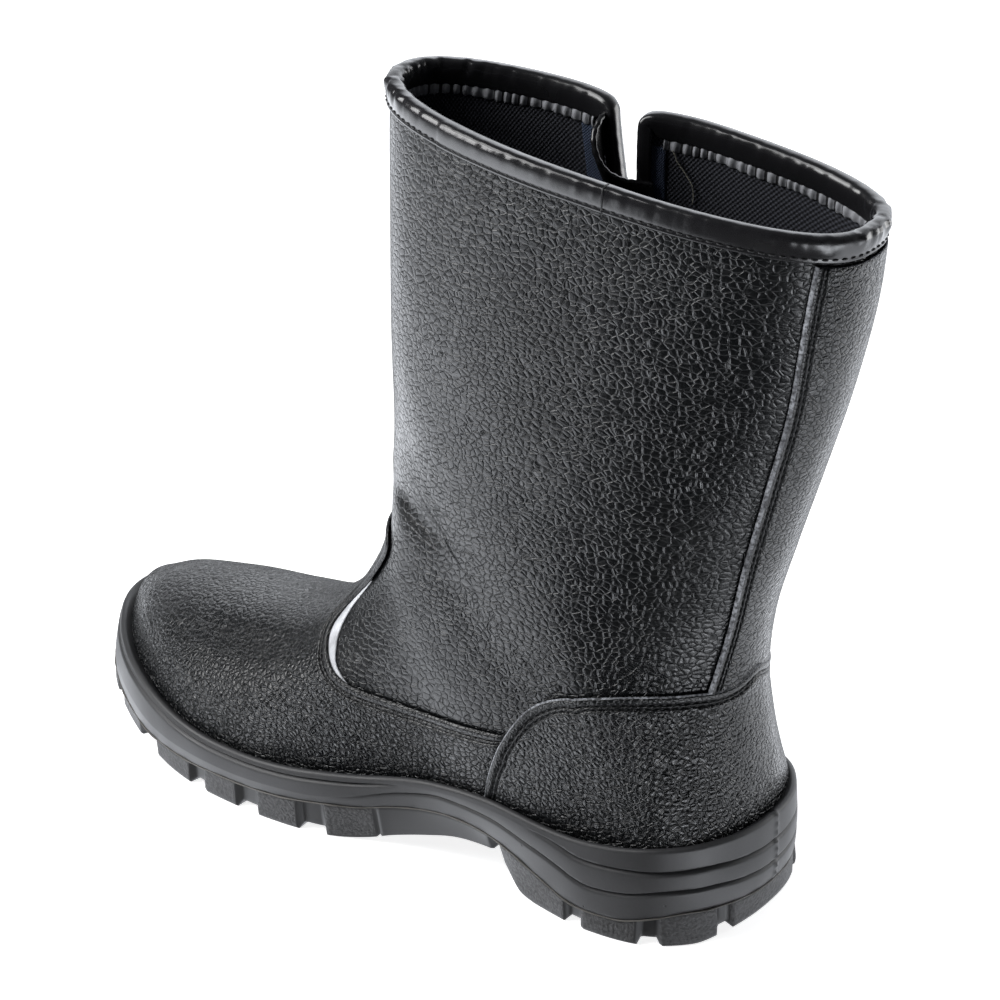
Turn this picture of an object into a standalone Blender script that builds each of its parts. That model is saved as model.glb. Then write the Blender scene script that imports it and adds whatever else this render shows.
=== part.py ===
"""Leather pull-on safety boot for the left foot, with a moulded two-layer sole.

Lengths in the tables are millimetres. +X runs from heel to toe, +Y to the outer side, +Z up.
"""
from collections import namedtuple

import bmesh
import bpy
import numpy as np
from mathutils.bvhtree import BVHTree

MM = 0.001
LEATHER = (0.02, 0.02, 0.021)
PALE = (0.45, 0.46, 0.48)

# Driving sizes
WALL = 2.2               # leather of the upper with its lining
OVERLAY = 1.4            # leather laid over the upper
INSERT = 0.7             # pale strip between vamp and shaft
GAP = 0.3                # clearance between neighbouring pieces
INSOLE = 3.0             # thickness of the foot bed
BINDING_DROP = 7.0       # how far the binding reaches down the collar
BINDING_SKIN = 1.6       # thickness of the folded binding
SLIT_CENTRE = 84.0       # place of the slit along the inner side of the collar
SLIT_TOP = 17.0          # width of the slit at the collar
SLIT_BOTTOM = 9.0        # width of its round lower end
SLIT_DEPTH = 31.0
SLIT_CORNER = 6.0        # rounding where slit and collar meet
SLIT_SEAM = 4.0          # how far the binding reaches over the wall along the slit
GUSSET_SKIN = 1.2        # textile of the folded gusset
GUSSET_SPREAD = 17.0     # half its width along the wall
GUSSET_FOLD = 20.0       # how far its fold reaches into the shaft
GUSSET_DROP = 44.0       # its lower edge below the collar
RECESS = 2.2             # height of the channels between the lugs
LUG_PROUD = 2.2          # lugs stand out from the side of the outsole
LUG_REACH = 17.0         # lugs run this far in under the sole
LUG_FLANK = 1.5          # slope of their inner ends
FOOT_EDGE = 0.8          # soft lower edge of the tread
FOOT_RISE = 1.2
PARTING_BEAD = 0.6       # thin bead along the parting line
BEAD_RISE = 1.6
EDGE_STEP = 0.5          # half the run of a lug's flank
TANGENT = 3.0            # reach over which the outline's direction is read
RING_POINTS = 30         # points round each section of the upper
ARCH_POINTS = 6          # points along each side of the arch

# How far the cutters reach beyond the boot
CLEAR = 120.0
HEEL_END = -60.0
TOE_END = 340.0
UNDER = -60.0
OVER = 330.0
MOUTH = 20.0             # the inside is cut this far above the collar

# Middle line of the boot seen from above: the toe swings to the inner side
Spine = namedtuple("Spine", "x y")
SPINE = [
    Spine(-40, -3.5),
    Spine(0, -2.0),
    Spine(45, 0.5),
    Spine(100, 2.5),
    Spine(150, 3.0),
    Spine(185, 0.5),
    Spine(212, -3.0),
    Spine(244, -8.0),
    Spine(270, -14.6),
    Spine(290, -21.5),
    Spine(312, -28.5),
]

# Reach of the sole to both sides of the middle line, from heel to toe
Outline = namedtuple("Outline", "x outer inner")
OUTLINE = [
    Outline(4, 0, 0),
    Outline(5, 12, 12),
    Outline(9, 24, 23),
    Outline(18, 35.5, 35),
    Outline(31, 43, 42.8),
    Outline(50, 46, 46),
    Outline(72, 45.5, 45.5),
    Outline(97, 43.5, 42.5),
    Outline(122, 43, 42.5),
    Outline(148, 45.3, 45),
    Outline(174, 48.7, 48.7),
    Outline(200, 51, 51),
    Outline(224, 51, 51),
    Outline(248, 47.5, 47.5),
    Outline(270, 40, 41),
    Outline(286, 31, 33.5),
    Outline(297, 20.5, 24.5),
    Outline(303.3, 11, 14),
    Outline(305.5, 0, 0),
]

# Heights of the sole along the boot, and how far parting line and tread stand out from the outline
SoleHeight = namedtuple("SoleHeight", "x tread parting bed lip flare foot")
SOLE_HEIGHTS = [
    SoleHeight(0, 3.0, 11.0, 31.5, 38.6, 0.3, 0.2),
    SoleHeight(8, 1.0, 12.4, 31.5, 38.2, 0.6, 1.2),
    SoleHeight(16, 0.0, 12.6, 31.0, 37.6, 1.5, 3.6),
    SoleHeight(26, 0.0, 10.6, 30.4, 36.8, 1.5, 3.8),
    SoleHeight(40, 0.0, 7.8, 29.4, 35.4, 1.0, 2.8),
    SoleHeight(56, 0.0, 9.0, 28.6, 34.8, 0.5, 0.8),
    SoleHeight(70, 0.0, 14.4, 28.2, 35.6, -0.5, -2.0),
    SoleHeight(80, 1.0, 18.0, 27.7, 36.8, -1.6, -4.0),
    SoleHeight(93, 14.0, 21.6, 27.0, 37.6, -2.7, -4.9),
    SoleHeight(110, 13.0, 23.0, 26.0, 36.8, -3.5, -5.0),
    SoleHeight(123, 9.4, 21.8, 24.6, 35.3, -3.5, -5.0),
    SoleHeight(136, 5.2, 19.2, 22.2, 32.6, -3.0, -5.2),
    SoleHeight(146, 1.8, 16.6, 20.2, 30.4, -2.0, -4.5),
    SoleHeight(163, 0.0, 14.6, 18.0, 27.6, 0.0, -1.0),
    SoleHeight(182, 0.0, 12.2, 16.8, 24.8, 1.0, 0.8),
    SoleHeight(212, 0.0, 10.6, 16.0, 23.4, 1.0, 1.2),
    SoleHeight(230, 0.5, 9.8, 16.6, 24.4, 1.0, 1.4),
    SoleHeight(250, 2.4, 9.8, 18.2, 27.2, 1.5, 1.6),
    SoleHeight(272, 6.0, 12.8, 20.9, 30.0, 2.6, 3.0),
    SoleHeight(290, 9.0, 15.6, 23.2, 31.6, 3.6, 4.6),
    SoleHeight(312, 12.5, 19.0, 25.4, 33.0, 3.6, 4.6),
]

# Two moulded grooves round the side of the midsole: their heights and depths along the boot
Groove = namedtuple("Groove", "x lower lower_depth upper upper_depth")
GROOVES = [
    Groove(0, 19.2, 1.6, 27.8, 1.6),
    Groove(12, 22.2, 1.6, 30.0, 1.6),
    Groove(24, 21.6, 1.6, 29.2, 1.6),
    Groove(36, 19.2, 1.6, 28.8, 1.6),
    Groove(47, 18.6, 1.6, 28.6, 1.6),
    Groove(55, 20.4, 1.6, 29.6, 1.6),
    Groove(60, 22.6, 1.6, 31.2, 1.4),
    Groove(66, 24.8, 1.6, 32.6, 0.6),
    Groove(77, 27.8, 1.6, 33.8, 0.0),
    Groove(90, 30.6, 1.5, 34.8, 0.0),
    Groove(112, 31.4, 1.3, 34.0, 0.0),
    Groove(126, 28.8, 1.1, 32.2, 0.0),
    Groove(136, 26.0, 0.9, 30.0, 0.8),
    Groove(150, 21.2, 0.4, 27.0, 1.6),
    Groove(160, 18.8, 0.0, 25.4, 1.6),
    Groove(182, 16.2, 0.0, 22.3, 1.6),
    Groove(212, 14.6, 0.0, 21.0, 1.6),
    Groove(230, 14.6, 0.0, 21.9, 1.6),
    Groove(250, 15.4, 0.0, 24.6, 1.6),
    Groove(272, 18.4, 0.0, 27.3, 1.6),
    Groove(290, 20.8, 0.0, 29.0, 1.6),
    Groove(312, 23.4, 0.0, 30.4, 1.6),
]
GROOVE_HALF = 0.9        # half the width of a groove

# Rings up the side of the midsole: the line each follows, its rise over it, its share of the foot's flare,
# how far it stands out, and the groove cut into it
SideRing = namedtuple("SideRing", "line rise flare out groove")
SIDE_RINGS = [
    SideRing("parting", GAP, 1.0, PARTING_BEAD, None),
    SideRing("lower", -GROOVE_HALF, 0.6, 1.9, None),
    SideRing("lower", 0.0, 0.6, 1.9, "lower_depth"),
    SideRing("lower", GROOVE_HALF, 0.5, 1.9, None),
    SideRing("upper", -GROOVE_HALF, 0.3, 1.6, None),
    SideRing("upper", 0.0, 0.3, 1.6, "upper_depth"),
    SideRing("upper", GROOVE_HALF, 0.2, 1.2, None),
    SideRing("lip", -1.3, 0.0, 0.2, None),
    SideRing("lip", 0.0, 0.0, -0.9, None),
]

# Heel blocks by their run along the edge from the back of the heel, forefoot lugs by their place along the boot
Run = namedtuple("Run", "start end")
HEEL_BLOCKS = [
    Run(0, 22),
    Run(27.5, 48.5),
    Run(55, 77),
    Run(83, 114),
]
FOREFOOT_LUGS = [
    Run(142, 162.5),
    Run(172.5, 192),
    Run(201, 218.5),
    Run(225.5, 247),
    Run(259, 275.5),
    Run(282, 300),
]
ARCH = Run(93, 142)

# Bars across the tread, between the side lugs: place along the boot, width along it and half length
Bar = namedtuple("Bar", "x width half_length proud")
BARS = [
    Bar(40, 12, 17, RECESS),
    Bar(64, 12, 20, RECESS),
    Bar(104, 3, 30, 1.4),
    Bar(112, 3, 30, 1.4),
    Bar(120, 3, 30, 1.4),
    Bar(128, 3, 30, 1.4),
    Bar(160, 12, 20, RECESS),
    Bar(184, 12, 23, RECESS),
    Bar(208, 12, 24, RECESS),
    Bar(234, 12, 22, RECESS),
    Bar(260, 12, 15, RECESS),
]

# Edges of the overlays seen from the side
Edge = namedtuple("Edge", "x z")
COUNTER_EDGE = [
    Edge(92.2, 10),
    Edge(92.2, 37),
    Edge(90.0, 53),
    Edge(86.3, 64),
    Edge(76.7, 78),
    Edge(65.0, 86),
    Edge(44.0, 91),
    Edge(24.0, 91.5),
    Edge(12.0, 95),
    Edge(-2.0, 96),
]
VAMP_EDGE = [
    Edge(86.6, 64.4),
    Edge(101.0, 63.0),
    Edge(115.0, 62.0),
    Edge(138.0, 60.9),
    Edge(156.0, 61.0),
    Edge(166.4, 64.2),
    Edge(172.8, 70.4),
    Edge(169.8, 80.0),
    Edge(157.6, 95.4),
    Edge(149.8, 107.4),
    Edge(147.5, 113.5),
    Edge(152.0, 118.5),
    Edge(168.0, 120.5),
]
INSERT_EDGE = [
    Edge(160.0, 62.0),
    Edge(163.2, 65.4),
    Edge(165.6, 69.2),
    Edge(166.6, 74.8),
    Edge(164.2, 83.0),
    Edge(157.4, 94.6),
]
STRIP_EDGE = [
    Edge(21.5, 86),
    Edge(17.4, 108),
    Edge(11.0, 138),
    Edge(2.5, 172),
    Edge(-4.8, 201),
    Edge(-9.9, 231),
    Edge(-13.0, 254),
    Edge(-15.0, 270),
]

# Sections of the last from toe to collar. Each runs from a front point on the top line of vamp and shaft
# to a back point under the sole or up the heel; belly is where along it the section is widest, and lean
# how far its front stands over to the outer side.
Section = namedtuple("Section", "front_x front_z back_x back_z half_width belly front_round back_round lean")
SECTIONS = [
    Section(300.4, 33.4, 300.4, 14.0, 5.5, 0.55, 2.20, 2.40, 0.0),
    Section(298.0, 37.8, 298.0, 12.0, 12.5, 0.60, 2.20, 2.80, 0.0),
    Section(292.4, 40.6, 292.4, 10.0, 20.5, 0.65, 2.20, 3.20, 0.0),
    Section(282.0, 45.4, 282.0, 8.0, 29.0, 0.68, 2.20, 3.60, 0.0),
    Section(268.0, 49.4, 268.0, 6.0, 36.4, 0.70, 2.20, 4.00, 0.0),
    Section(248.0, 54.0, 248.0, 5.0, 43.0, 0.70, 2.20, 4.00, 0.0),
    Section(224.0, 58.2, 224.0, 4.0, 46.8, 0.70, 2.20, 4.00, 0.0),
    Section(201.0, 64.4, 199.0, 4.0, 46.8, 0.70, 2.15, 4.00, 0.0),
    Section(184.0, 74.4, 175.0, 5.0, 44.5, 0.70, 2.10, 4.00, 0.0),
    Section(170.3, 87.0, 151.0, 7.0, 41.0, 0.68, 2.10, 4.40, 0.0),
    Section(161.0, 102.0, 126.0, 9.0, 38.5, 0.66, 2.10, 5.00, 0.0),
    Section(155.6, 117.0, 98.0, 12.0, 38.5, 0.66, 2.10, 5.50, 0.0),
    Section(155.4, 131.0, 68.0, 15.0, 40.4, 0.68, 2.10, 6.00, 0.0),
    Section(156.5, 144.0, 40.0, 16.0, 41.0, 0.70, 2.10, 6.00, 0.0),
    Section(156.5, 157.0, 13.0, 20.0, 40.6, 0.70, 2.10, 4.00, 0.0),
    Section(156.5, 170.0, 8.5, 40.0, 40.0, 0.66, 2.10, 2.40, 0.0),
    Section(156.5, 184.0, 11.5, 62.0, 39.5, 0.60, 2.10, 2.20, 0.0),
    Section(156.5, 198.0, 14.0, 86.0, 39.0, 0.56, 2.10, 2.20, 0.0),
    Section(156.5, 213.0, 11.5, 112.0, 38.5, 0.54, 2.10, 2.20, 0.0),
    Section(156.5, 229.0, 4.0, 140.0, 38.5, 0.53, 2.10, 2.20, 0.0),
    Section(157.0, 245.0, -5.0, 170.0, 38.0, 0.52, 2.10, 2.20, -0.5),
    Section(157.5, 260.0, -14.0, 202.0, 37.0, 0.52, 2.15, 2.30, -1.2),
    Section(158.0, 272.0, -20.5, 234.0, 36.0, 0.52, 2.20, 2.50, -2.2),
    Section(158.0, 282.0, -23.0, 262.0, 34.8, 0.52, 2.25, 2.60, -3.2),
]


def spline(table, name, x):
    """Smooth value of one named column of a table at the places x."""
    xs = np.array([row.x for row in table], float)
    values = np.array([getattr(row, name) for row in table], float)
    slopes = np.gradient(values, xs)
    rise = np.diff(values) / np.diff(xs)
    before, after = np.concatenate([rise[:1], rise]), np.concatenate([rise, rise[-1:]])
    limit = np.where(before * after > 0.0, 3.0 * np.minimum(np.abs(before), np.abs(after)), 0.0)
    slopes = np.clip(slopes, -limit, limit)
    x = np.clip(np.asarray(x, float), xs[0], xs[-1])
    i = np.clip(np.searchsorted(xs, x) - 1, 0, len(xs) - 2)
    step = xs[i + 1] - xs[i]
    t = (x - xs[i]) / step
    near, far = values[i], values[i + 1]
    return (
        near * (1 + 2 * t) * (1 - t) ** 2
        + far * t * t * (3 - 2 * t)
        + step * slopes[i] * t * (1 - t) ** 2
        - step * slopes[i + 1] * t * t * (1 - t)
    )


def spine(x):
    return spline(SPINE, "y", x)


def section_ring(row):
    """Points of one section: front point, outer side, back point, inner side."""
    half = RING_POINTS // 2
    angle = np.linspace(0.0, np.pi, half + 1)
    cosine, sine = np.cos(angle), np.sin(angle).clip(0.0)
    power = np.where(cosine >= 0.0, 2.0 / row.front_round, 2.0 / row.back_round)
    reach = np.where(cosine >= 0.0, row.belly, 1.0 - row.belly)
    along = row.belly - np.sign(cosine) * reach * np.abs(cosine) ** power
    out = row.half_width * sine ** power
    along = np.concatenate([along, along[-2:0:-1]])
    out = np.concatenate([out, -out[-2:0:-1]])
    x = row.front_x + along * (row.back_x - row.front_x)
    z = row.front_z + along * (row.back_z - row.front_z)
    return np.stack([x, spine(x) + out + row.lean * (1.0 - along), z], axis=1)


def grid_normals(grid):
    """Outward normals of a closed-ring grid of points."""
    round_step = np.roll(grid, -1, axis=1) - np.roll(grid, 1, axis=1)
    along_step = np.gradient(grid, axis=0)
    normals = np.cross(round_step, along_step)
    length = np.linalg.norm(normals, axis=2, keepdims=True)
    return normals / np.maximum(length, 1e-9)


def last_grid(grow, extra_top=0.0):
    """The last as a grid of section rings, grown outwards, with an optional extra ring above the collar."""
    grid = np.array([section_ring(row) for row in SECTIONS])
    grid = grid + grow * grid_normals(grid)
    if extra_top:
        rise = grid[-1] - grid[-2]
        rise = rise / np.linalg.norm(rise, axis=1, keepdims=True)
        grid = np.concatenate([grid, grid[-1:] + extra_top * rise[None]])
    return grid


def new_object(name, collection, verts, faces):
    mesh = bpy.data.meshes.new(name)
    mesh.from_pydata([tuple(v * MM) for v in np.asarray(verts, float)], [], faces)
    bm = bmesh.new()
    bm.from_mesh(mesh)
    bmesh.ops.recalc_face_normals(bm, faces=bm.faces)
    bmesh.ops.triangulate(bm, faces=[f for f in bm.faces if len(f.verts) > 4])
    bm.to_mesh(mesh)
    bm.free()
    obj = bpy.data.objects.new(name, mesh)
    collection.objects.link(obj)
    return obj


def loft(name, collection, grid):
    """Closed solid through a grid of rings, capped at both ends. Both halves are split alike into triangles."""
    rows, count, _ = grid.shape
    faces = []
    for r in range(rows - 1):
        for c in range(count):
            d = (c + 1) % count
            near, far, far_up, near_up = r * count + c, r * count + d, (r + 1) * count + d, (r + 1) * count + c
            if c < count // 2:
                faces += [(near, far, far_up), (near, far_up, near_up)]
            else:
                faces += [(near, far, near_up), (far, far_up, near_up)]
    faces.append(tuple(range(count)))
    faces.append(tuple(range((rows - 1) * count, rows * count)))
    return new_object(name, collection, grid.reshape(-1, 3), faces)


def prism(name, collection, outline, axis, low, high):
    """Outline in two coordinates pushed along the third, from low to high."""
    count = len(outline)
    verts = []
    for level in (low, high):
        for a, b in outline:
            verts.append({"x": (level, a, b), "y": (a, level, b), "z": (a, b, level)}[axis])
    faces = [(i, (i + 1) % count, count + (i + 1) % count, count + i) for i in range(count)]
    faces.append(tuple(range(count)))
    faces.append(tuple(range(count, 2 * count)))
    return new_object(name, collection, verts, faces)


def boolean(obj, operation, cutter):
    modifier = obj.modifiers.new(operation.lower() + "_" + cutter.name, "BOOLEAN")
    modifier.operation = operation
    modifier.solver = "EXACT"
    modifier.object = cutter


def hide(obj):
    obj.hide_render = True
    obj.display_type = "WIRE"
    return obj


def finish(obj, colour, roughness, parent):
    material = bpy.data.materials.new(obj.name)
    material.use_nodes = True
    shader = material.node_tree.nodes["Principled BSDF"]
    shader.inputs["Base Color"].default_value = (*colour, 1.0)
    shader.inputs["Roughness"].default_value = roughness
    shader.inputs["Metallic"].default_value = 0.0
    obj.data.materials.append(material)
    obj.data.shade_smooth()
    obj.parent = parent


# Sole

def fine_outline():
    """The lip's outline as a fine closed line from the back of the heel along the outer side, with its run."""
    x = np.array([row.x for row in OUTLINE], float)
    outer = np.array([row.outer for row in OUTLINE], float)
    inner = np.array([row.inner for row in OUTLINE], float)
    knots = np.stack([np.concatenate([x, x[-2:0:-1]]), np.concatenate([outer, -inner[-2:0:-1]])], axis=1)
    fine = smooth(knots, 12, closed=True)
    fine[:, 1] += spine(fine[:, 0])
    closed = np.concatenate([fine, fine[:1]])
    run = np.concatenate([[0.0], np.cumsum(np.linalg.norm(np.diff(closed, axis=0), axis=1))])
    return closed, run


def edge_places():
    """Runs along both halves of the outline where the sole's rings have points, and which of them lie on a lug."""
    closed, run = fine_outline()
    toe = int(np.argmax(closed[:, 0]))
    outer_x, outer_run = closed[:toe + 1, 0], run[:toe + 1]
    inner_x, inner_run = closed[toe:, 0][::-1], (run[-1] - run[toe:])[::-1]
    halves = []
    for xs, runs in ((outer_x, outer_run), (inner_x, inner_run)):
        lugs = [(block.start, block.end) for block in HEEL_BLOCKS]
        lugs += [tuple(np.interp([lug.start, lug.end], xs, runs)) for lug in FOREFOOT_LUGS]
        arch = np.interp([ARCH.start, ARCH.end], xs, runs)
        places = [(0.0, True)]
        for i, (start, end) in enumerate(lugs):
            if i == len(HEEL_BLOCKS):
                places += [(p, False) for p in np.linspace(arch[0], arch[1], ARCH_POINTS + 2)[1:-1]]
            if start > 0.0:
                places += [(start - EDGE_STEP, False), (start + EDGE_STEP, True)]
            places += [(p, True) for p in np.linspace(start, end, 3)[1:-1]]
            places += [(end - EDGE_STEP, True), (end + EDGE_STEP, False)]
        places += [(p, False) for p in np.linspace(end, runs[-1], 4)[1:]]
        halves.append(places)
    outer, inner = halves
    outer = outer + [(run[-1] - place, lug) for place, lug in inner[-2:0:-1]]
    places = np.array([place for place, _ in outer])
    x = np.interp(places, run, closed[:, 0])
    y = np.interp(places, run, closed[:, 1])
    ahead = np.stack([np.interp((places + TANGENT) % run[-1], run, closed[:, i]) for i in (0, 1)], axis=1)
    behind = np.stack([np.interp((places - TANGENT) % run[-1], run, closed[:, i]) for i in (0, 1)], axis=1)
    step = ahead - behind
    normals = np.stack([-step[:, 1], step[:, 0]], axis=1)
    normals /= np.linalg.norm(normals, axis=1, keepdims=True)
    return np.stack([x, y], axis=1), normals, np.array([lug for _, lug in outer])


def sole(column, x):
    return spline(SOLE_HEIGHTS, column, x)


def sole_ring(points, normals, offset, height):
    """One ring of the sole: the outline pushed out by an offset, at a height."""
    moved = points + normals * np.broadcast_to(offset, len(points))[:, None]
    return np.column_stack([moved, height])


def stack(name, collection, rings):
    """Closed solid through rings of the sole, with ladder-like caps that follow the rings' heights."""
    grid = np.array(rings)
    rows, count, _ = grid.shape
    faces = []
    for r in range(rows - 1):
        for c in range(count):
            d = (c + 1) % count
            faces.append((r * count + c, r * count + d, (r + 1) * count + d, (r + 1) * count + c))
    half = count // 2
    for base in (0, (rows - 1) * count):
        for c in range(1, half - 1):
            faces.append((base + c, base + c + 1, base + count - c - 1, base + count - c))
        faces.append((base, base + 1, base + count - 1))
        faces.append((base + half - 1, base + half, base + half + 1))
    return new_object(name, collection, grid.reshape(-1, 3), faces)


def outsole_rings(points, normals, lug):
    """Rings of the tread from its middle channel over the lugs up to the parting line."""
    x = points[:, 0]
    tread, flare, foot, parting = (sole(column, x) for column in ("tread", "flare", "foot", "parting"))
    arch = (x > ARCH.start) & (x < ARCH.end)
    low = np.where(lug | arch, tread, tread + RECESS)
    back = np.where(lug | arch, 0.0, LUG_PROUD)
    channel = np.where(arch, tread, tread + RECESS)
    under_bead = parting - BEAD_RISE
    return [
        sole_ring(points, normals, -LUG_REACH - LUG_FLANK, channel),
        sole_ring(points, normals, -LUG_REACH, low),
        sole_ring(points, normals, foot - back - FOOT_EDGE, low),
        sole_ring(points, normals, foot - back, np.minimum(low + FOOT_RISE, under_bead - FOOT_EDGE)),
        sole_ring(points, normals, flare - back + PARTING_BEAD, under_bead),
        sole_ring(points, normals, flare + PARTING_BEAD, parting),
    ]


def midsole_rings(points, normals):
    """Rings of the midsole's side: foot, two grooves with the bands between them, and the lip."""
    x = points[:, 0]
    rings = []
    for ring in SIDE_RINGS:
        table = GROOVES if ring.line in ("lower", "upper") else SOLE_HEIGHTS
        offset = ring.flare * sole("flare", x) + ring.out
        if ring.groove:
            offset = offset - spline(GROOVES, ring.groove, x)
        rings.append(sole_ring(points, normals, offset, spline(table, ring.line, x) + ring.rise))
    return rings


# Lines

def smooth(knots, steps, closed=False):
    """Finer line through knots, rounded between them."""
    knots = np.asarray(knots, float)
    if closed:
        line = np.concatenate([knots[-1:], knots, knots[:2]])
    else:
        line = np.concatenate([2 * knots[:1] - knots[1:2], knots, 2 * knots[-1:] - knots[-2:-1]])
    before, here, after, beyond = line[:-3], line[1:-2], line[2:-1], line[3:]
    fine = []
    for t in np.linspace(0.0, 1.0, steps, endpoint=False):
        fine.append(
            0.5 * (
                2 * here
                + (after - before) * t
                + (2 * before - 5 * here + 4 * after - beyond) * t ** 2
                + (3 * here - before - 3 * after + beyond) * t ** 3
            )
        )
    fine = np.stack(fine, axis=1).reshape(-1, knots.shape[1])
    return fine if closed else np.concatenate([fine, knots[-1:]])


def edge_line(edge, shift_x=0.0):
    line = smooth([(point.x, point.z) for point in edge], 2)
    return [(x + shift_x, z) for x, z in line]


def collar_height(x):
    top = SECTIONS[-1]
    return top.back_z + (x - top.back_x) * (top.front_z - top.back_z) / (top.front_x - top.back_x)


def slit_line():
    """Edge of the slit seen from the side, from its rear corner on the collar round to its front corner."""
    half, low = SLIT_TOP / 2, SLIT_BOTTOM / 2
    turn = np.radians([0.0, 30.0, 60.0, 90.0])
    rear = []
    for angle in turn:
        rear.append((-half - SLIT_CORNER * (1 - np.sin(angle)), -SLIT_CORNER * (1 - np.cos(angle))))
    rear.append((-(half + low) / 2 - 0.5, -(SLIT_CORNER + SLIT_DEPTH - low) / 2))
    for angle in np.radians([0.0, 36.0, 72.0]):
        rear.append((-low * np.cos(angle), -SLIT_DEPTH + low * (1 - np.sin(angle))))
    front = [(-x, z) for x, z in rear[::-1]]
    return [(SLIT_CENTRE + x, collar_height(SLIT_CENTRE + x) + z) for x, z in rear + front]


# Collar binding

def wall_point(surface, x, z):
    """Point and outward direction on the inner side of a wall, seen from the side."""
    point, normal, _, _ = surface.ray_cast((x, -CLEAR, z), (0.0, 1.0, 0.0))
    normal = np.array(normal)
    return np.array(point), normal if normal[1] < 0.0 else -normal


def binding_path():
    """Edge of the wall round collar and slit: points, outward directions, directions into the wall, reach."""
    middle = last_grid(-WALL / 2, MOUTH)
    rows, count, _ = middle.shape
    corners = middle.reshape(-1, 3)
    faces = []
    for r in range(rows - 1):
        for c in range(count):
            d = (c + 1) % count
            faces.append((r * count + c, r * count + d, (r + 1) * count + d, (r + 1) * count + c))
    surface = BVHTree.FromPolygons([tuple(v) for v in corners], faces)
    ring, below = middle[-2], middle[-3]
    out = grid_normals(middle)[-2]
    into = below - ring
    into /= np.linalg.norm(into, axis=1, keepdims=True)
    line = slit_line()
    first, last = line[-1][0], line[0][0]
    inner_side = np.arange(count) > count // 2
    beside = (ring[:, 0] > last - SLIT_SEAM) & (ring[:, 0] < first + SLIT_SEAM) & inner_side
    path = [(ring[i], out[i], into[i], BINDING_DROP) for i in range(count) if not beside[i]]
    rear_index = sum(1 for i in range(count) if not beside[i] and ring[i, 0] < last or not inner_side[i])
    points = [wall_point(surface, x, z) for x, z in line]
    places = np.array([point for point, _ in points])
    along = np.gradient(places, axis=0)
    along /= np.linalg.norm(along, axis=1, keepdims=True)
    slit = []
    for (point, normal), direction in zip(points, along):
        inward = np.cross(direction, normal)
        slit.append((point, normal, inward / np.linalg.norm(inward), SLIT_SEAM))
    return path[:rear_index] + slit + path[rear_index:]


def binding_grid():
    """Folded profile carried along the binding's path."""
    inside = WALL / 2 + GAP
    outside = inside + BINDING_SKIN
    top = -GAP - BINDING_SKIN
    rings = []
    for point, normal, inward, reach in binding_path():
        profile = [
            (inside, reach),
            (outside, reach),
            (outside, 0.2 * BINDING_DROP),
            (0.8 * outside, 0.6 * top),
            (0.3 * outside, top),
            (-0.3 * outside, top),
            (-0.8 * outside, 0.6 * top),
            (-outside, 0.2 * BINDING_DROP),
            (-outside, reach),
            (-inside, reach),
            (-inside, -GAP),
            (inside, -GAP),
        ]
        rings.append([point + n * normal + d * inward for n, d in profile])
    return np.array(rings)


def hoop(name, collection, grid):
    """Closed solid through rings that follow each other round a loop."""
    rows, count, _ = grid.shape
    faces = []
    for r in range(rows):
        q = (r + 1) % rows
        for c in range(count):
            d = (c + 1) % count
            faces.append((r * count + c, r * count + d, q * count + d, q * count + c))
    return new_object(name, collection, grid.reshape(-1, 3), faces)


def gusset_outline():
    """Folded gusset seen from above, as a thin closed outline behind the slit."""
    wall = float(spine(SLIT_CENTRE)) - SECTIONS[-2].half_width + WALL + 2.0
    leaf = [(-GUSSET_SPREAD, 0.0), (-0.35 * GUSSET_SPREAD, 1.5), (0.0, GUSSET_FOLD), (0.35 * GUSSET_SPREAD, 1.5)]
    leaf.append((GUSSET_SPREAD, 0.0))
    outer = [(SLIT_CENTRE + x, wall + y) for x, y in leaf]
    back = [(x, y + GUSSET_SKIN * (1.0 if i != 2 else 2.5)) for i, (x, y) in enumerate(outer)]
    return outer + back[::-1]


# Zones of the overlays seen from the side

def counter_zone():
    edge = edge_line(COUNTER_EDGE)
    return edge + [(HEEL_END, edge[-1][1]), (HEEL_END, 0.0), (edge[0][0], 0.0)]


def vamp_zone():
    """In front of the counter, below the side seam and up the instep."""
    edge = edge_line(VAMP_EDGE)
    front = [point for point in edge_line(COUNTER_EDGE, shift_x=GAP) if point[1] < edge[0][1] - 1.0]
    return [(front[0][0], 0.0)] + front + edge + [(TOE_END, edge[-1][1]), (TOE_END, 0.0)]


def insert_zone():
    """Crescent between its own edge and the vamp's."""
    edge = edge_line(INSERT_EDGE)
    first, last = INSERT_EDGE[0], INSERT_EDGE[-1]
    seam = [
        point for point in edge_line(VAMP_EDGE, shift_x=-GAP)
        if first.z + 1.0 < point[1] < last.z - 1.0 and point[0] > last.x
    ]
    return edge + seam[::-1]


def strip_zone():
    """Behind the strip's edge, from the counter up to the binding."""
    drop = BINDING_DROP + 2 * GAP
    edge = [(x, z) for x, z in edge_line(STRIP_EDGE) if z < collar_height(x) - drop]
    top = edge[-1][0]
    ceiling = [(x, collar_height(x) - drop) for x in (top, HEEL_END)]
    return edge + ceiling + [(HEEL_END, edge[0][1])]


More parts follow.
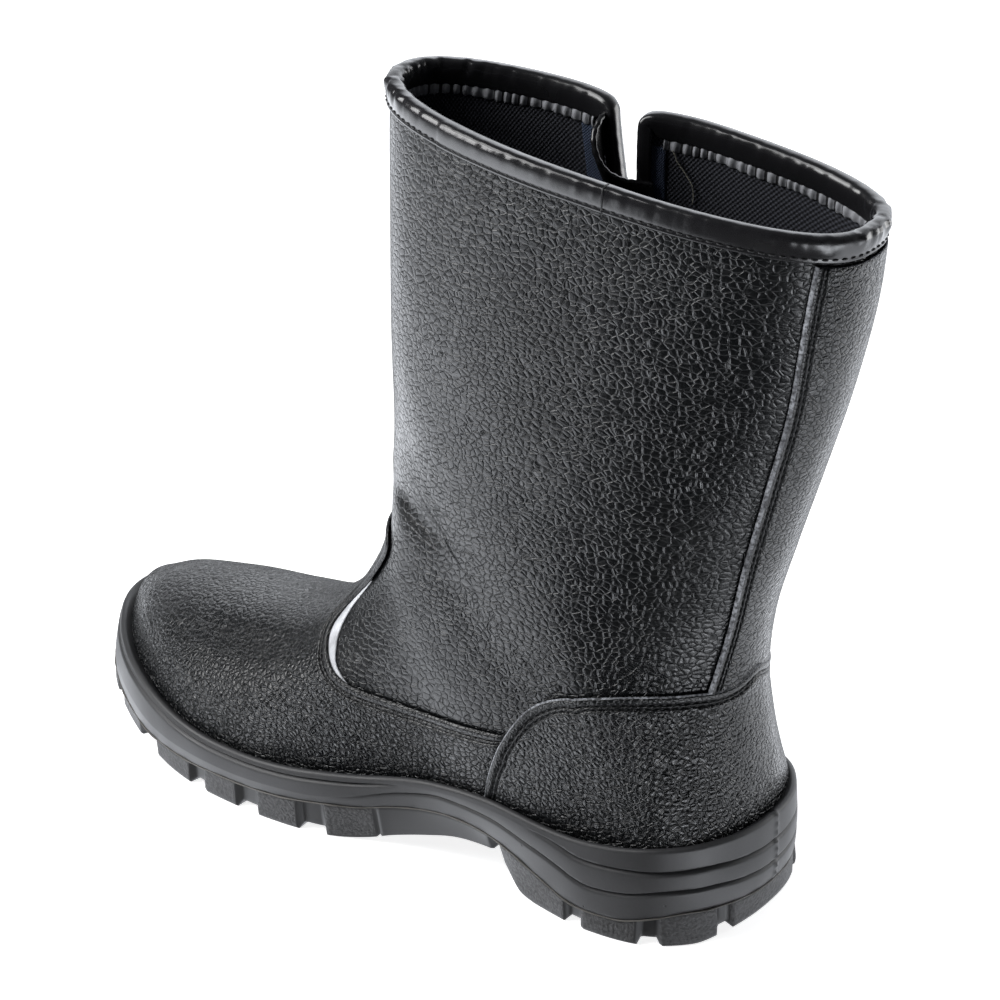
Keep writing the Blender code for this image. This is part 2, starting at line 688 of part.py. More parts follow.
def main():
    for obj in list(bpy.data.objects):
        bpy.data.objects.remove(obj, do_unlink=True)
    boot = bpy.data.collections.new("safety_boot")
    cutters = bpy.data.collections.new("cutters")
    for collection in (boot, cutters):
        bpy.context.scene.collection.children.link(collection)
    base = bpy.data.objects.new("boot_origin", None)
    boot.objects.link(base)

    # Sole
    points, normals, lug = edge_places()
    tread_rings = outsole_rings(points, normals, lug)
    side_rings = midsole_rings(points, normals)
    outsole = stack("outsole", boot, tread_rings)
    midsole = stack("midsole", boot, side_rings)
    for i, bar in enumerate(BARS):
        low, high = bar.x - bar.width / 2, bar.x + bar.width / 2
        rise = RECESS if bar.proud >= RECESS else 0.0
        foot = [(x, float(sole("tread", x)) + rise - bar.proud) for x in (low, high)]
        head = [(x, float(sole("parting", x)) - 1.5) for x in (high, low)]
        middle = float(spine(bar.x))
        reach = (middle - bar.half_length, middle + bar.half_length)
        boolean(outsole, "UNION", hide(prism("bar_%d" % i, cutters, foot + head, "y", *reach)))

    # Bed that closes the upper underneath
    bed_line = [(x, float(sole("bed", x))) for x in np.linspace(HEEL_END, TOE_END, 32)]
    under = [(TOE_END, UNDER), (HEEL_END, UNDER)]
    bed = hide(prism("below_bed", cutters, bed_line + under, "y", -CLEAR, CLEAR))
    raised = [(x, z + GAP) for x, z in bed_line]
    below_upper = hide(prism("below_upper", cutters, raised + under, "y", -CLEAR, CLEAR))
    tub = hide(loft("tub", cutters, last_grid(OVERLAY + 2 * GAP)))
    boolean(tub, "DIFFERENCE", bed)
    boolean(midsole, "DIFFERENCE", tub)

    # Upper with its slit
    upper = loft("upper", boot, last_grid(0.0))
    inside = hide(loft("inside", cutters, last_grid(-WALL, MOUTH)))
    line = slit_line()
    above = [(line[-1][0], OVER), (line[0][0], OVER)]
    slit = hide(prism("slit", cutters, line + above, "y", -CLEAR, 0.0))
    boolean(upper, "DIFFERENCE", inside)
    boolean(upper, "DIFFERENCE", below_upper)
    boolean(upper, "DIFFERENCE", slit)

    # Overlays cut from the upper's own form
    skin = hide(loft("skin", cutters, last_grid(GAP)))
    counter_clear = [(x, z + GAP) for x, z in counter_zone()]
    beside_counter = hide(prism("beside_counter", cutters, counter_clear, "y", -CLEAR, CLEAR))
    overlays = (
        ("vamp", vamp_zone(), OVERLAY, -CLEAR, CLEAR),
        ("heel_counter", counter_zone(), OVERLAY, -CLEAR, CLEAR),
        ("back_strip", strip_zone(), OVERLAY, -CLEAR, CLEAR),
        ("insert_outer", insert_zone(), INSERT, 0.0, CLEAR),
        ("insert_inner", insert_zone(), INSERT, -CLEAR, 0.0),
    )
    for name, zone, thickness, low, high in overlays:
        piece = loft(name, boot, last_grid(GAP + thickness))
        boolean(piece, "INTERSECT", hide(prism(name + "_zone", cutters, zone, "y", low, high)))
        boolean(piece, "DIFFERENCE", skin)
        boolean(piece, "DIFFERENCE", below_upper)
        if name == "back_strip":
            boolean(piece, "DIFFERENCE", beside_counter)
        finish(piece, PALE if thickness == INSERT else LEATHER, 0.45, base)

    # Insole, binding and gusset
    insole = loft("insole", boot, last_grid(-WALL - GAP))
    slab = raised + [(x, z + INSOLE) for x, z in raised[::-1]]
    boolean(insole, "INTERSECT", hide(prism("insole_slab", cutters, slab, "y", -CLEAR, CLEAR)))
    folded = binding_grid()
    binding = hoop("collar_binding", boot, folded)
    top = collar_height(SLIT_CENTRE)
    gusset = prism("gusset", boot, gusset_outline(), "z", top - GUSSET_DROP, top - BINDING_DROP)

    # Origin under the middle of the boot, on the floor
    reach = np.concatenate([np.array(tread_rings + side_rings).reshape(-1, 3), folded.reshape(-1, 3)])
    middle = (reach.min(axis=0) + reach.max(axis=0)) / 2
    base.location = (-middle[0] * MM, -middle[1] * MM, -reach[:, 2].min() * MM)
    for cutter in cutters.objects:
        cutter.parent = base

    finish(midsole, (0.03, 0.031, 0.033), 0.5, base)
    finish(outsole, (0.025, 0.025, 0.026), 0.65, base)
    finish(insole, (0.03, 0.03, 0.032), 0.9, base)
    finish(upper, LEATHER, 0.45, base)
    finish(binding, (0.016, 0.016, 0.018), 0.3, base)
    finish(gusset, (0.02, 0.022, 0.03), 0.9, base)


main()
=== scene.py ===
"""Left pull-on safety boot: a sewn leather upper on a moulded two-layer sole. Sizes are millimetres from the heel."""
import math

import bmesh
import bpy
import numpy as np
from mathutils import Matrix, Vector
from mathutils.geometry import delaunay_2d_cdt


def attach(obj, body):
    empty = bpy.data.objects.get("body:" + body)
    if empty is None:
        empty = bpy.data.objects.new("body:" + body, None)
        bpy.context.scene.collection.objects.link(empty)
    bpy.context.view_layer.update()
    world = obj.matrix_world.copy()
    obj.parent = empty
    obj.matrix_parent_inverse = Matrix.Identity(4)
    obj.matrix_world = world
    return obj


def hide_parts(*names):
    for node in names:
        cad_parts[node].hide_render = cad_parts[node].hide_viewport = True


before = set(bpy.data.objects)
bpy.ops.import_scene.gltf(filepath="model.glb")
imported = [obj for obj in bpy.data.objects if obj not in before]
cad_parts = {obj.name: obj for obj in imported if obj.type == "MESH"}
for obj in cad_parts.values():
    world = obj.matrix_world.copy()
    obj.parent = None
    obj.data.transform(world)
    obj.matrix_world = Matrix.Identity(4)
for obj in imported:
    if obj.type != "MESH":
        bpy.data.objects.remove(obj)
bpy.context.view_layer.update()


# Shaft
# The body of the boot is black grained cowhide, pulled over a last and closed round foot and leg.
# It stays open at the collar, at the slit on the inner side and under the foot.

MM = 0.001
TO_FRAME = np.array([-142.466, 3.161, 0.0])      # from the back of the heel to the shared frame
SHAFT_LEATHER = 1.1

# Sections of the last, toe to collar:
# front_x, front_z, back_x, back_z, half_width, belly, front_round, back_round, lean
LAST = np.array([
    (300.4, 33.4, 300.4, 14.0, 5.5, 0.55, 2.20, 2.40, 0.0),
    (298.0, 37.8, 298.0, 12.0, 12.5, 0.60, 2.20, 2.80, 0.0),
    (292.4, 40.6, 292.4, 10.0, 20.5, 0.65, 2.20, 3.20, 0.0),
    (282.0, 45.4, 282.0, 8.0, 29.0, 0.68, 2.20, 3.60, 0.0),
    (268.0, 49.4, 268.0, 6.0, 36.4, 0.70, 2.20, 4.00, 0.0),
    (248.0, 54.0, 248.0, 5.0, 43.0, 0.70, 2.20, 4.00, 0.0),
    (224.0, 58.2, 224.0, 4.0, 46.8, 0.70, 2.20, 4.00, 0.0),
    (201.0, 64.4, 199.0, 4.0, 46.8, 0.70, 2.15, 4.00, 0.0),
    (184.0, 74.4, 175.0, 5.0, 44.5, 0.70, 2.10, 4.00, 0.0),
    (170.3, 87.0, 151.0, 7.0, 41.0, 0.68, 2.10, 4.40, 0.0),
    (161.0, 102.0, 126.0, 9.0, 38.5, 0.66, 2.10, 5.00, 0.0),
    (155.6, 117.0, 98.0, 12.0, 38.5, 0.66, 2.10, 5.50, 0.0),
    (155.4, 131.0, 68.0, 15.0, 40.4, 0.68, 2.10, 6.00, 0.0),
    (156.5, 144.0, 40.0, 16.0, 41.0, 0.70, 2.10, 6.00, 0.0),
    (156.5, 157.0, 13.0, 20.0, 40.6, 0.70, 2.10, 4.00, 0.0),
    (156.5, 170.0, 8.5, 40.0, 40.0, 0.66, 2.10, 2.40, 0.0),
    (156.5, 184.0, 11.5, 62.0, 39.5, 0.60, 2.10, 2.20, 0.0),
    (156.5, 198.0, 14.0, 86.0, 39.0, 0.56, 2.10, 2.20, 0.0),
    (156.5, 213.0, 11.5, 112.0, 38.5, 0.54, 2.10, 2.20, 0.0),
    (156.5, 229.0, 4.0, 140.0, 38.5, 0.53, 2.10, 2.20, 0.0),
    (157.0, 245.0, -5.0, 170.0, 38.0, 0.52, 2.10, 2.20, -0.5),
    (157.5, 260.0, -14.0, 202.0, 37.0, 0.52, 2.15, 2.30, -1.2),
    (158.0, 272.0, -20.5, 234.0, 36.0, 0.52, 2.20, 2.50, -2.2),
    (158.0, 282.0, -23.0, 262.0, 34.8, 0.52, 2.25, 2.60, -3.2),
])
TOP_ROW = len(LAST) - 1.0
TOE_ROUND = 2.0          # how far the tip of the toe bulges beyond the first section

# Middle line of the boot from above, x and y
MIDDLE_X = (-40, 0, 45, 100, 150, 185, 212, 244, 270, 290, 312)
MIDDLE_Y = (-3.5, -2.0, 0.5, 2.5, 3.0, 0.5, -3.0, -8.0, -14.6, -21.5, -28.5)

# Places along the sole, and the height of the bed that the upper stands on
SOLE_X = (0, 8, 16, 26, 40, 56, 70, 80, 93, 110, 123, 136, 146, 163, 182, 212, 230, 250, 272, 290, 312)
BED_Z = (31.5, 31.5, 31.0, 30.4, 29.4, 28.6, 28.2, 27.7, 27.0, 26.0, 24.6, 22.2, 20.2, 18.0, 16.8, 16.0,
         16.6, 18.2, 20.9, 23.2, 25.4)
ON_BED = 0.3

# Slit in the inner side of the collar
SLIT_X = 84.4
SLIT_TOP = 11.5
SLIT_BOTTOM = 8.0
SLIT_DEPTH = 31.0
SLIT_CORNER = 3.5
SLIT_PULL = 6.0          # the wall is drawn in towards the leg beside the slit
ROW_STEP, TURN_STEP = 0.03, 0.006      # small steps on the last that show which way its skin looks

# Soft creases set by wear and handling: knots on the skin, depth and half width
CREASES = [
    (np.array([(250, 19, 48.5), (217, 26, 54), (191, 29, 61), (172, 33, 68)], float), 1.1, 6.5),
    (np.array([(150, 22, 137), (141, 27, 135.5), (133, 31, 132), (122, 35, 129.5)], float), 1.3, 5.0),
]


def along(knots_x, knots_y, x):
    """Smooth value of a short table at the places x."""
    xs, values = np.asarray(knots_x, float), np.asarray(knots_y, float)
    rise = np.diff(values) / np.diff(xs)
    before, after = np.append(rise[:1], rise), np.append(rise, rise[-1:])
    limit = np.where(before * after > 0.0, 3.0 * np.minimum(np.abs(before), np.abs(after)), 0.0)
    slopes = np.clip(np.gradient(values, xs), -limit, limit)
    x = np.clip(np.asarray(x, float), xs[0], xs[-1])
    i = np.clip(np.searchsorted(xs, x) - 1, 0, len(xs) - 2)
    step = xs[i + 1] - xs[i]
    t = (x - xs[i]) / step
    return (values[i] * (1 + 2 * t) * (1 - t) ** 2 + values[i + 1] * t * t * (3 - 2 * t)
            + step * (slopes[i] * t * (1 - t) ** 2 - slopes[i + 1] * t * t * (1 - t)))


def rounded(a, b, c, d, t):
    """Point a share t of the way from b to c, on a smooth line through all four."""
    return 0.5 * (2 * b + (c - a) * t + (2 * a - 5 * b + 4 * c - d) * t ** 2 + (3 * b - a - 3 * c + d) * t ** 3)


def with_ends(table):
    """Table with one more row before its first and after its last."""
    return np.concatenate([2 * table[:1] - table[1:2], table, 2 * table[-1:] - table[-2:-1]])


def between_rows(place):
    """Columns of the last's table between its rows, at places counted in rows."""
    low = np.clip(np.floor(place).astype(int), 0, len(LAST) - 2)
    rows = with_ends(LAST)
    return np.moveaxis(rounded(*(rows[low + k] for k in range(4)), (place - low)[..., None]), -1, 0)


def smooth_step(low, high, value):
    t = np.clip((value - low) / (high - low), 0.0, 1.0)
    return t * t * (3 - 2 * t)


def on_last(row, turn):
    """Point of the last. Turn goes from the front line (0) to the back line (pi), + outer side, - inner side."""
    row, turn = np.broadcast_arrays(np.asarray(row, float), np.asarray(turn, float))
    turn = (turn + np.pi) % (2 * np.pi) - np.pi
    tip = np.clip(-row, 0.0, 1.0)
    close = np.sqrt(1.0 - tip ** 2)
    columns = between_rows(np.maximum(row, 0.0))
    front_x, front_z, back_x, back_z, half, belly, front_round, back_round, lean = columns
    middle = (front_z + back_z) / 2
    front_z, back_z = middle + (front_z - middle) * close, middle + (back_z - middle) * close
    cosine, sine = np.cos(turn), np.abs(np.sin(turn))
    square = np.where(cosine >= 0.0, front_round, back_round)
    radius = (np.abs(cosine) ** square + sine ** square) ** (-1.0 / square)
    share = belly - np.where(cosine >= 0.0, belly, 1.0 - belly) * radius * cosine
    x = front_x + share * (back_x - front_x) + TOE_ROUND * tip
    z = front_z + share * (back_z - front_z)
    y = along(MIDDLE_X, MIDDLE_Y, x) + np.sign(turn) * half * close * radius * sine + lean * (1.0 - share)
    return np.stack([x, y, z], axis=-1)


def turn_at(row, share):
    """Turn at which a section has run a share of its way from front to back."""
    belly, front_round, back_round = between_rows(row)[5:8]
    ahead = belly - share
    reach = np.where(ahead >= 0.0, belly, 1.0 - belly)
    square = np.where(ahead >= 0.0, front_round, back_round)
    ahead = np.clip(ahead / reach, -1.0, 1.0)
    return np.arctan2((1.0 - np.abs(ahead) ** square) ** (1.0 / square), ahead)


def halving(low, high, too_far):
    """Where a test starts to hold between two arrays of values, found by halving."""
    for _ in range(40):
        middle = (low + high) / 2
        far = too_far(middle)
        low, high = np.where(far, low, middle), np.where(far, middle, high)
    return middle


def section_line(row):
    """Front point of a section seen from the side, and the run from there to its back point."""
    front_x, front_z, back_x, back_z = between_rows(row)[:4]
    return front_x, front_z, back_x - front_x, back_z - front_z


def bed_turn(row):
    """Turn at which a section reaches the bed of the sole, or pi where it ends above the bed."""
    row = np.asarray(row, float)

    def below(turn):
        x, _, z = np.moveaxis(on_last(row, turn), -1, 0)
        return z < along(SOLE_X, BED_Z, x) + ON_BED

    turn = halving(np.full_like(row, 0.2 * np.pi), np.full_like(row, np.pi), below)
    return np.where(turn > np.pi - 1e-5, np.pi, turn)


def collar_height(x):
    front_x, front_z, back_x, back_z = LAST[-1, :4]
    return back_z + (x - back_x) * (front_z - back_z) / (front_x - back_x)


def off_line(points, line):
    """Distance of points from a line through knots."""
    nearest = np.full(points.shape[:-1], 1e9)
    for start, end in zip(line[:-1], line[1:]):
        run = end - start
        t = np.clip(((points - start) @ run) / (run @ run), 0.0, 1.0)
        nearest = np.minimum(nearest, np.linalg.norm(points - start - t[..., None] * run, axis=-1))
    return nearest


def skin(row, turn, lift=0.0):
    """Points of a layer lifted off the last, creases and all, with its outward directions."""
    row, turn, lift = np.broadcast_arrays(*(np.asarray(v, float) for v in (row, turn, lift)))
    base = on_last(row, turn)
    up = on_last(row + ROW_STEP, turn) - on_last(row - ROW_STEP, turn)
    across = on_last(row, turn + TURN_STEP) - on_last(row, turn - TURN_STEP)
    out = np.cross(across, up)
    length = np.linalg.norm(out, axis=-1, keepdims=True)
    out = np.where(length > 1e-6, out / np.maximum(length, 1e-9), (1.0, 0.0, 0.0))
    for line, depth, width in CREASES:
        lift = lift - depth * np.exp(-(off_line(base, line) / width) ** 2)
    points = base + lift[..., None] * out
    drop = collar_height(base[..., 0]) - base[..., 2]
    pull = SLIT_PULL * np.exp(-((base[..., 0] - SLIT_X + 2) / 15) ** 2) * (1 - smooth_step(0.0, 62.0, drop))
    points[..., 1] += np.where(np.sin(turn) < 0.0, pull, 0.0)
    return points, out


def grid_faces(rows, columns, start=0, flip=False, closed=False):
    """Quads of a grid of points, row by row; closed joins the last column to the first."""
    faces = []
    for r in range(rows - 1):
        for c in range(columns if closed else columns - 1):
            d = (c + 1) % columns
            face = (r * columns + c, r * columns + d, (r + 1) * columns + d, (r + 1) * columns + c)
            faces.append(tuple(start + v for v in (face[::-1] if flip else face)))
    return faces


def make_piece(name, points, faces, materials, finish=None, weld=True):
    """Mesh object from points in the boot's own millimetres. Finish picks a material for each face."""
    mesh = bpy.data.meshes.new(name)
    mesh.from_pydata(((np.asarray(points, float).reshape(-1, 3) + TO_FRAME) * MM).tolist(), [], faces)
    for material in materials:
        mesh.materials.append(material)
    if finish is not None:
        mesh.polygons.foreach_set("material_index", np.asarray(finish, np.int32))
    if weld:
        bm = bmesh.new()
        bm.from_mesh(mesh)
        bmesh.ops.remove_doubles(bm, verts=bm.verts, dist=0.004 * MM)
        bm.to_mesh(mesh)
        bm.free()
    mesh.shade_smooth()
    obj = bpy.data.objects.new(name, mesh)
    bpy.context.scene.collection.objects.link(obj)
    return obj


def thicken(obj, thickness, rim=0):
    """Gives a sheet its thickness, inwards, with its own finish on the cut edge."""
    solid = obj.modifiers.new("thickness", "SOLIDIFY")
    solid.thickness = thickness * MM
    solid.offset = -1.0
    solid.material_offset_rim = rim


def slit_half(depth):
    """Half the width of the slit at a depth under the collar."""
    half, low = SLIT_TOP / 2, SLIT_BOTTOM / 2
    round_top = SLIT_CORNER * (1 - np.sqrt(1 - np.clip((SLIT_CORNER - depth) / SLIT_CORNER, 0.0, 1.0) ** 2))
    sides = half + (low - half) * np.clip((depth - SLIT_CORNER) / (SLIT_DEPTH - low - SLIT_CORNER), 0.0, 1.0)
    round_end = np.sqrt(1 - np.clip((depth - SLIT_DEPTH + low) / low, 0.0, 1.0) ** 2)
    return np.where(depth < SLIT_DEPTH, (sides + round_top) * round_end, 0.0)


def slit_turns(row):
    """Turns of the slit's front and rear edge on each row; both are the same where there is no slit."""
    limit = 0.7 * bed_turn(row)
    row = np.maximum(row, 0.0)
    front_x, front_z, run_x, run_z = section_line(row)
    length = np.maximum(-run_x, 1.0)
    middle = np.clip((front_x - SLIT_X) / length, 0.3, 0.6)
    half = slit_half(collar_height(SLIT_X) - front_z - middle * run_z) / length
    return [np.minimum(turn_at(row, share), limit) for share in (middle - half, middle + half)]


def last_cover(lift, rows, outer_columns, inner_columns):
    """Sheet over the whole last, split along the slit."""
    ends = bed_turn(rows)
    front, rear = slit_turns(rows)
    points, faces = [], []
    for low, high, count in (
            (-ends, -rear, inner_columns), (-front, 0 * ends, inner_columns), (0 * ends, ends, outer_columns)):
        turn = low[:, None] + (high - low)[:, None] * np.linspace(0.0, 1.0, count)
        faces += grid_faces(len(rows), count, sum(len(p) for p in points))
        points.append(skin(rows[:, None], turn, lift)[0].reshape(-1, 3))
    return np.concatenate(points), faces


def fill(socket, value):
    """Joins another socket to a socket, or sets a plain value on it."""
    if isinstance(value, bpy.types.NodeSocket):
        socket.id_data.links.new(value, socket)
    else:
        socket.default_value = value


def node(tree, kind, *joined, **settings):
    """Outputs of a new node. Joined values fill its inputs in order, settings fill inputs or options by name."""
    made = tree.nodes.new("ShaderNode" + kind)
    for key, value in settings.items():
        if key in made.inputs:
            fill(made.inputs[key], value)
        else:
            setattr(made, key, value)
    for socket, value in zip(made.inputs, joined):
        fill(socket, value)
    return made.outputs


def noise(place, scale, detail):
    return node(place.id_data, "TexNoise", place, Scale=scale, Detail=detail)[0]


def maths(operation, first, second):
    """Two values put together by arithmetic; the first is a socket."""
    return node(first.id_data, "Math", first, second, operation=operation)[0]


def ranged(source, *ends, curve="LINEAR"):
    """Value of a socket carried from one range to another."""
    return node(source.id_data, "MapRange", source, *ends, interpolation_type=curve)[0]


def eased(source, *ends):
    """The same with soft ends."""
    return ranged(source, *ends, curve="SMOOTHSTEP")


def mixed(factor, low, high):
    """Colour between two, each a plain colour or a socket."""
    mix = node(factor.id_data, "Mix", data_type="RGBA")[2].node
    for i, value in ((0, factor), (6, low), (7, high)):
        fill(mix.inputs[i], (*value, 1.0) if isinstance(value, tuple) else value)
    return mix.outputs[2]


def new_finish(name):
    """Empty material, its node tree, and the place on the boot that its textures follow."""
    material = bpy.data.materials.new(name)
    material.use_nodes = True
    tree = material.node_tree
    return material, tree, node(tree, "TexCoord")["Object"]


def finished(material, colour, height, relief, strength, roughness, specular=0.5):
    """Joins colour, relief and gloss to a material's shader."""
    tree = material.node_tree
    bump = node(tree, "Bump", Strength=strength, Distance=relief * MM, Height=height)[0]
    shader = tree.nodes["Principled BSDF"].inputs
    for key, value in (("Base Color", colour), ("Normal", bump), ("Roughness", roughness)):
        fill(shader[key], value)
    shader["Specular IOR Level"].default_value = specular
    return material


def grained_leather(name, cell, stretch, relief, roughness, flattened=()):
    """Black pebbled hide: smooth cells between sharp valleys of uneven depth, drawn out by a stretch on each axis.

    Flattened lists where the hide is pulled smooth: places along the boot, from and to, and the share of relief left.
    """
    material, tree, place = new_finish(name)
    drawn = place
    for wave, amount in ((24.0, 0.0075), (170.0, 0.0018)):
        sway = node(tree, "TexNoise", place, Scale=wave, Detail=1.5)["Color"]
        drawn = node(tree, "VectorMath", sway, (amount,) * 3, drawn, operation="MULTIPLY_ADD")[0]
    cells = node(tree, "Mapping", drawn, vector_type="TEXTURE", Scale=[cell * MM * s for s in stretch])[0]
    pebbles, creases = (
        node(tree, "TexVoronoi", cells, feature="DISTANCE_TO_EDGE", Scale=scale, Randomness=spread)["Distance"]
        for scale, spread in ((1.0, 0.9), (2.2, 1.0)))
    depth, pores = noise(cells, 0.9, 1.0), noise(cells, 5.0, 2.0)
    patches, pulled = noise(place, 22.0, 3.0), noise(place, 16.0, 1.0)
    valley = maths("MULTIPLY", eased(pebbles, 0.0, 0.13, 1.0, 0.0), ranged(depth, 0.34, 0.6, 0.35, 1.0))
    height = maths("SUBTRACT", eased(pebbles, 0.0, 0.45, 0.0, 0.30), maths("MULTIPLY", valley, 0.85))
    height = maths("SUBTRACT", height, eased(creases, 0.0, 0.10, 0.07, 0.0))
    height = maths("ADD", height, maths("MULTIPLY", pores, 0.05))
    height = maths("MULTIPLY", height, eased(pulled, 0.36, 0.58, 0.6, 1.0))
    lengthwise = node(tree, "SeparateXYZ", place)["X"]
    for start, end, left in flattened:
        height = maths("MULTIPLY", height, eased(lengthwise, start, end, left, 1.0))
    colour = mixed(ranged(patches, 0.3, 0.7, 0.0, 1.0), (0.0032, 0.0037, 0.0043), (0.0056, 0.0063, 0.0072))
    dulled = ranged(valley, 0.0, 1.0, roughness, roughness + 0.08)
    gloss = maths("ADD", dulled, ranged(patches, 0.3, 0.7, 0.04, -0.04))
    return finished(material, colour, height, relief, 1.0, gloss)


shaft_leather = grained_leather("shaft_leather", cell=2.9, stretch=(1.0, 1.0, 0.70), relief=0.42, roughness=0.27,
                                flattened=((-0.152, -0.122, 0.4), (-0.03, -0.066, 0.62)))
shaft_rows = np.concatenate([np.linspace(-1.0, 8.0, 26)[:-1], np.linspace(8.0, TOP_ROW, 130)])
shaft = make_piece("shaft", *last_cover(0.0, shaft_rows, 104, 62), [shaft_leather])
thicken(shaft, SHAFT_LEATHER)
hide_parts("upper")
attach(shaft, "root")


# Lining
# Coarse black woven textile glued to the inside of the leather, from the collar down to the foot bed.
# It is cut like the shaft, and split along the slit.

LINING_CLOTH = 1.05
UNDER_LEATHER = -1.15


def woven_textile(name, pitch, thread_colour, gap_colour):
    """Plain weave: threads crossing over and under each other, a pitch apart."""
    material, tree, place = new_finish(name)
    x, y, z = node(tree, "SeparateXYZ", place)
    turn_rate = 2 * math.pi / (pitch * MM)
    waves = [maths("SINE", maths("MULTIPLY", run, turn_rate), 0.0) for run in (z, maths("ADD", x, y))]
    height = maths("ADD", maths("MULTIPLY", *waves), maths("MULTIPLY", noise(place, 2200.0, 2.0), 0.4))
    colour = mixed(ranged(height, -0.8, 1.1, 0.0, 1.0), gap_colour, thread_colour)
    return finished(material, colour, height, 0.25, 0.8, 0.85, 0.25)


lining_cloth = woven_textile("lining_cloth", pitch=1.9,
                             thread_colour=(0.055, 0.058, 0.072), gap_colour=(0.003, 0.003, 0.004))
lining_rows = np.concatenate([np.linspace(-0.95, 8.0, 20)[:-1], np.linspace(8.0, TOP_ROW, 80)])
lining = make_piece("lining", *last_cover(UNDER_LEATHER, lining_rows, 56, 34), [lining_cloth])
thicken(lining, LINING_CLOTH)
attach(lining, "root")


# Back strip
# Narrow leather strip sewn over the back seam of the shaft with two rows on each side.
# Its sides are skived, so a pale flat band of raw leather shows along them; part of its paleness is painted
# highlight.

STRIP_EDGE = [(21.6, 84), (20.6, 91), (17.4, 108), (11.0, 138), (2.5, 172), (-4.8, 201), (-9.9, 231), (-13.3, 255.2)]
STRIP_BACK_Z = (90.0, 253.6)     # its ends on the back line
STRIP_LEATHER = 0.6
SKIVED = 1.4                     # width of the pale band along the strip
STITCH_ROWS = (3.1, 4.5)         # distance of the two stitch rows from a panel's edge
SEAM_WIDTH = 5.4                 # how far in from its edge a panel is pressed smooth
OVERLAY = 1.4
OVER_UPPER = 0.3
BORDER = np.array([0.0, 0.2, 0.5, 0.9, 1.4, 2.0, 2.5, 2.8, 2.95, 3.1, 3.25, 3.45, 3.8, 4.15, 4.35, 4.5, 4.65, 4.85,
                   5.3, 6.3, 8.0])


def unit(vectors):
    return vectors / np.linalg.norm(vectors, axis=-1, keepdims=True)


def fine_line(knots, steps, closed=False):
    """Finer line through knots, rounded between them."""
    knots = np.asarray(knots, float)
    line = np.concatenate([knots[-1:], knots, knots[:2]]) if closed else with_ends(knots)
    shares = np.linspace(0.0, 1.0, steps, endpoint=False)
    fine = np.stack([rounded(line[:-3], line[1:-2], line[2:-1], line[3:], t) for t in shares], axis=1)
    fine = fine.reshape(-1, knots.shape[1])
    return fine if closed else np.concatenate([fine, knots[-1:]])


def run_of(points):
    return np.concatenate([[0.0], np.cumsum(np.linalg.norm(np.diff(points, axis=0), axis=1))])


def sampled(line, run, places):
    """Line at places along its run."""
    return np.stack([np.interp(places, run, column) for column in line.T], axis=1)


def evenly(line, run, spacing, count=None):
    """Line resampled to even steps of its run."""
    return sampled(line, run, np.linspace(0.0, run[-1], count or max(2, int(round(run[-1] / spacing)) + 1)))


def even_on_last(line, spacing, count=None):
    """Line of rows and turns resampled to even steps on the last."""
    return evenly(line, run_of(on_last(*line.T)), spacing, count)


def place_of(x, z):
    """Row and turn of points seen from the side."""
    x, z = np.asarray(x, float), np.asarray(z, float)

    def beyond(row):
        front_x, front_z, run_x, run_z = section_line(row)
        return run_x * (z - front_z) - run_z * (x - front_x) > 0.0

    row = halving(np.zeros_like(x), np.full_like(x, TOP_ROW), beyond)
    front_x, front_z, run_x, run_z = section_line(row)
    return row, turn_at(row, ((x - front_x) * run_x + (z - front_z) * run_z) / (run_x ** 2 + run_z ** 2))


def edge_on_last(knots, spacing):
    """Even line of rows and turns on the outer side through knots seen from the side."""
    return even_on_last(np.stack(place_of(*fine_line(knots, 16).T), axis=1), spacing)


def inset(edge, towards, distance):
    """Line of rows and turns a distance in from an edge, on the side of another line."""
    row, turn = edge.T
    point = on_last(row, turn)
    inward = np.cross(skin(row, turn)[1], unit(np.gradient(point, axis=0)))
    aim = np.sum(inward * (on_last(*towards.T) - point), axis=1)
    inward = inward * (1.0 if np.median(aim) > 0.0 else -1.0)
    by_row = (on_last(row + 0.02, turn) - on_last(row - 0.02, turn)) / 0.04
    by_turn = (on_last(row, turn + 0.004) - on_last(row, turn - 0.004)) / 0.008
    aa, bb, ab = np.sum(by_row ** 2, 1), np.sum(by_turn ** 2, 1), np.sum(by_row * by_turn, 1)
    a, b = np.sum(by_row * inward, 1), np.sum(by_turn * inward, 1)
    step = np.stack([a * bb - b * ab, b * aa - a * ab], axis=1) / np.maximum(aa * bb - ab * ab, 1e-6)[:, None]
    return edge + step * np.broadcast_to(distance, len(edge))[:, None]


def edge_lift(distance):
    """Height of a sewn panel over the last near its edge: rounded rim, and a trough under each stitch row."""
    lift = OVER_UPPER + OVERLAY
    for place, height, width in ((0.0, -0.6, 0.4), (1.4, 0.2, 0.8), (3.8, 0.1, 0.35), (5.5, 0.12, 0.7),
                                 *((row, -0.8, 0.3) for row in STITCH_ROWS)):
        lift = lift + height * np.exp(-((distance - place) / width) ** 2)
    return lift


def border_lines(edge, far, room=1.0):
    """Lines at the border distances in from a sewn edge, spread evenly again after each step so that none folds."""
    lines = [edge]
    for step in np.diff(BORDER):
        line = inset(lines[-1], far, step * room)
        line[1:-1] = 0.06 * line[:-2] + 0.88 * line[1:-1] + 0.06 * line[2:]
        lines.append(even_on_last(line, 1.0, len(line)))
    return lines


def panel_grid(edge, far, field_rows, room=1.0):
    """Rows and turns of a panel between its sewn edge and a far line, and each line's distance from the edge."""
    borders = border_lines(edge, far, room)
    field = [borders[-1] + (far - borders[-1]) * t for t in np.linspace(0.0, 1.0, field_rows + 1)[1:]]
    return np.array(borders + field), np.append(BORDER, np.full(field_rows, 99.0))


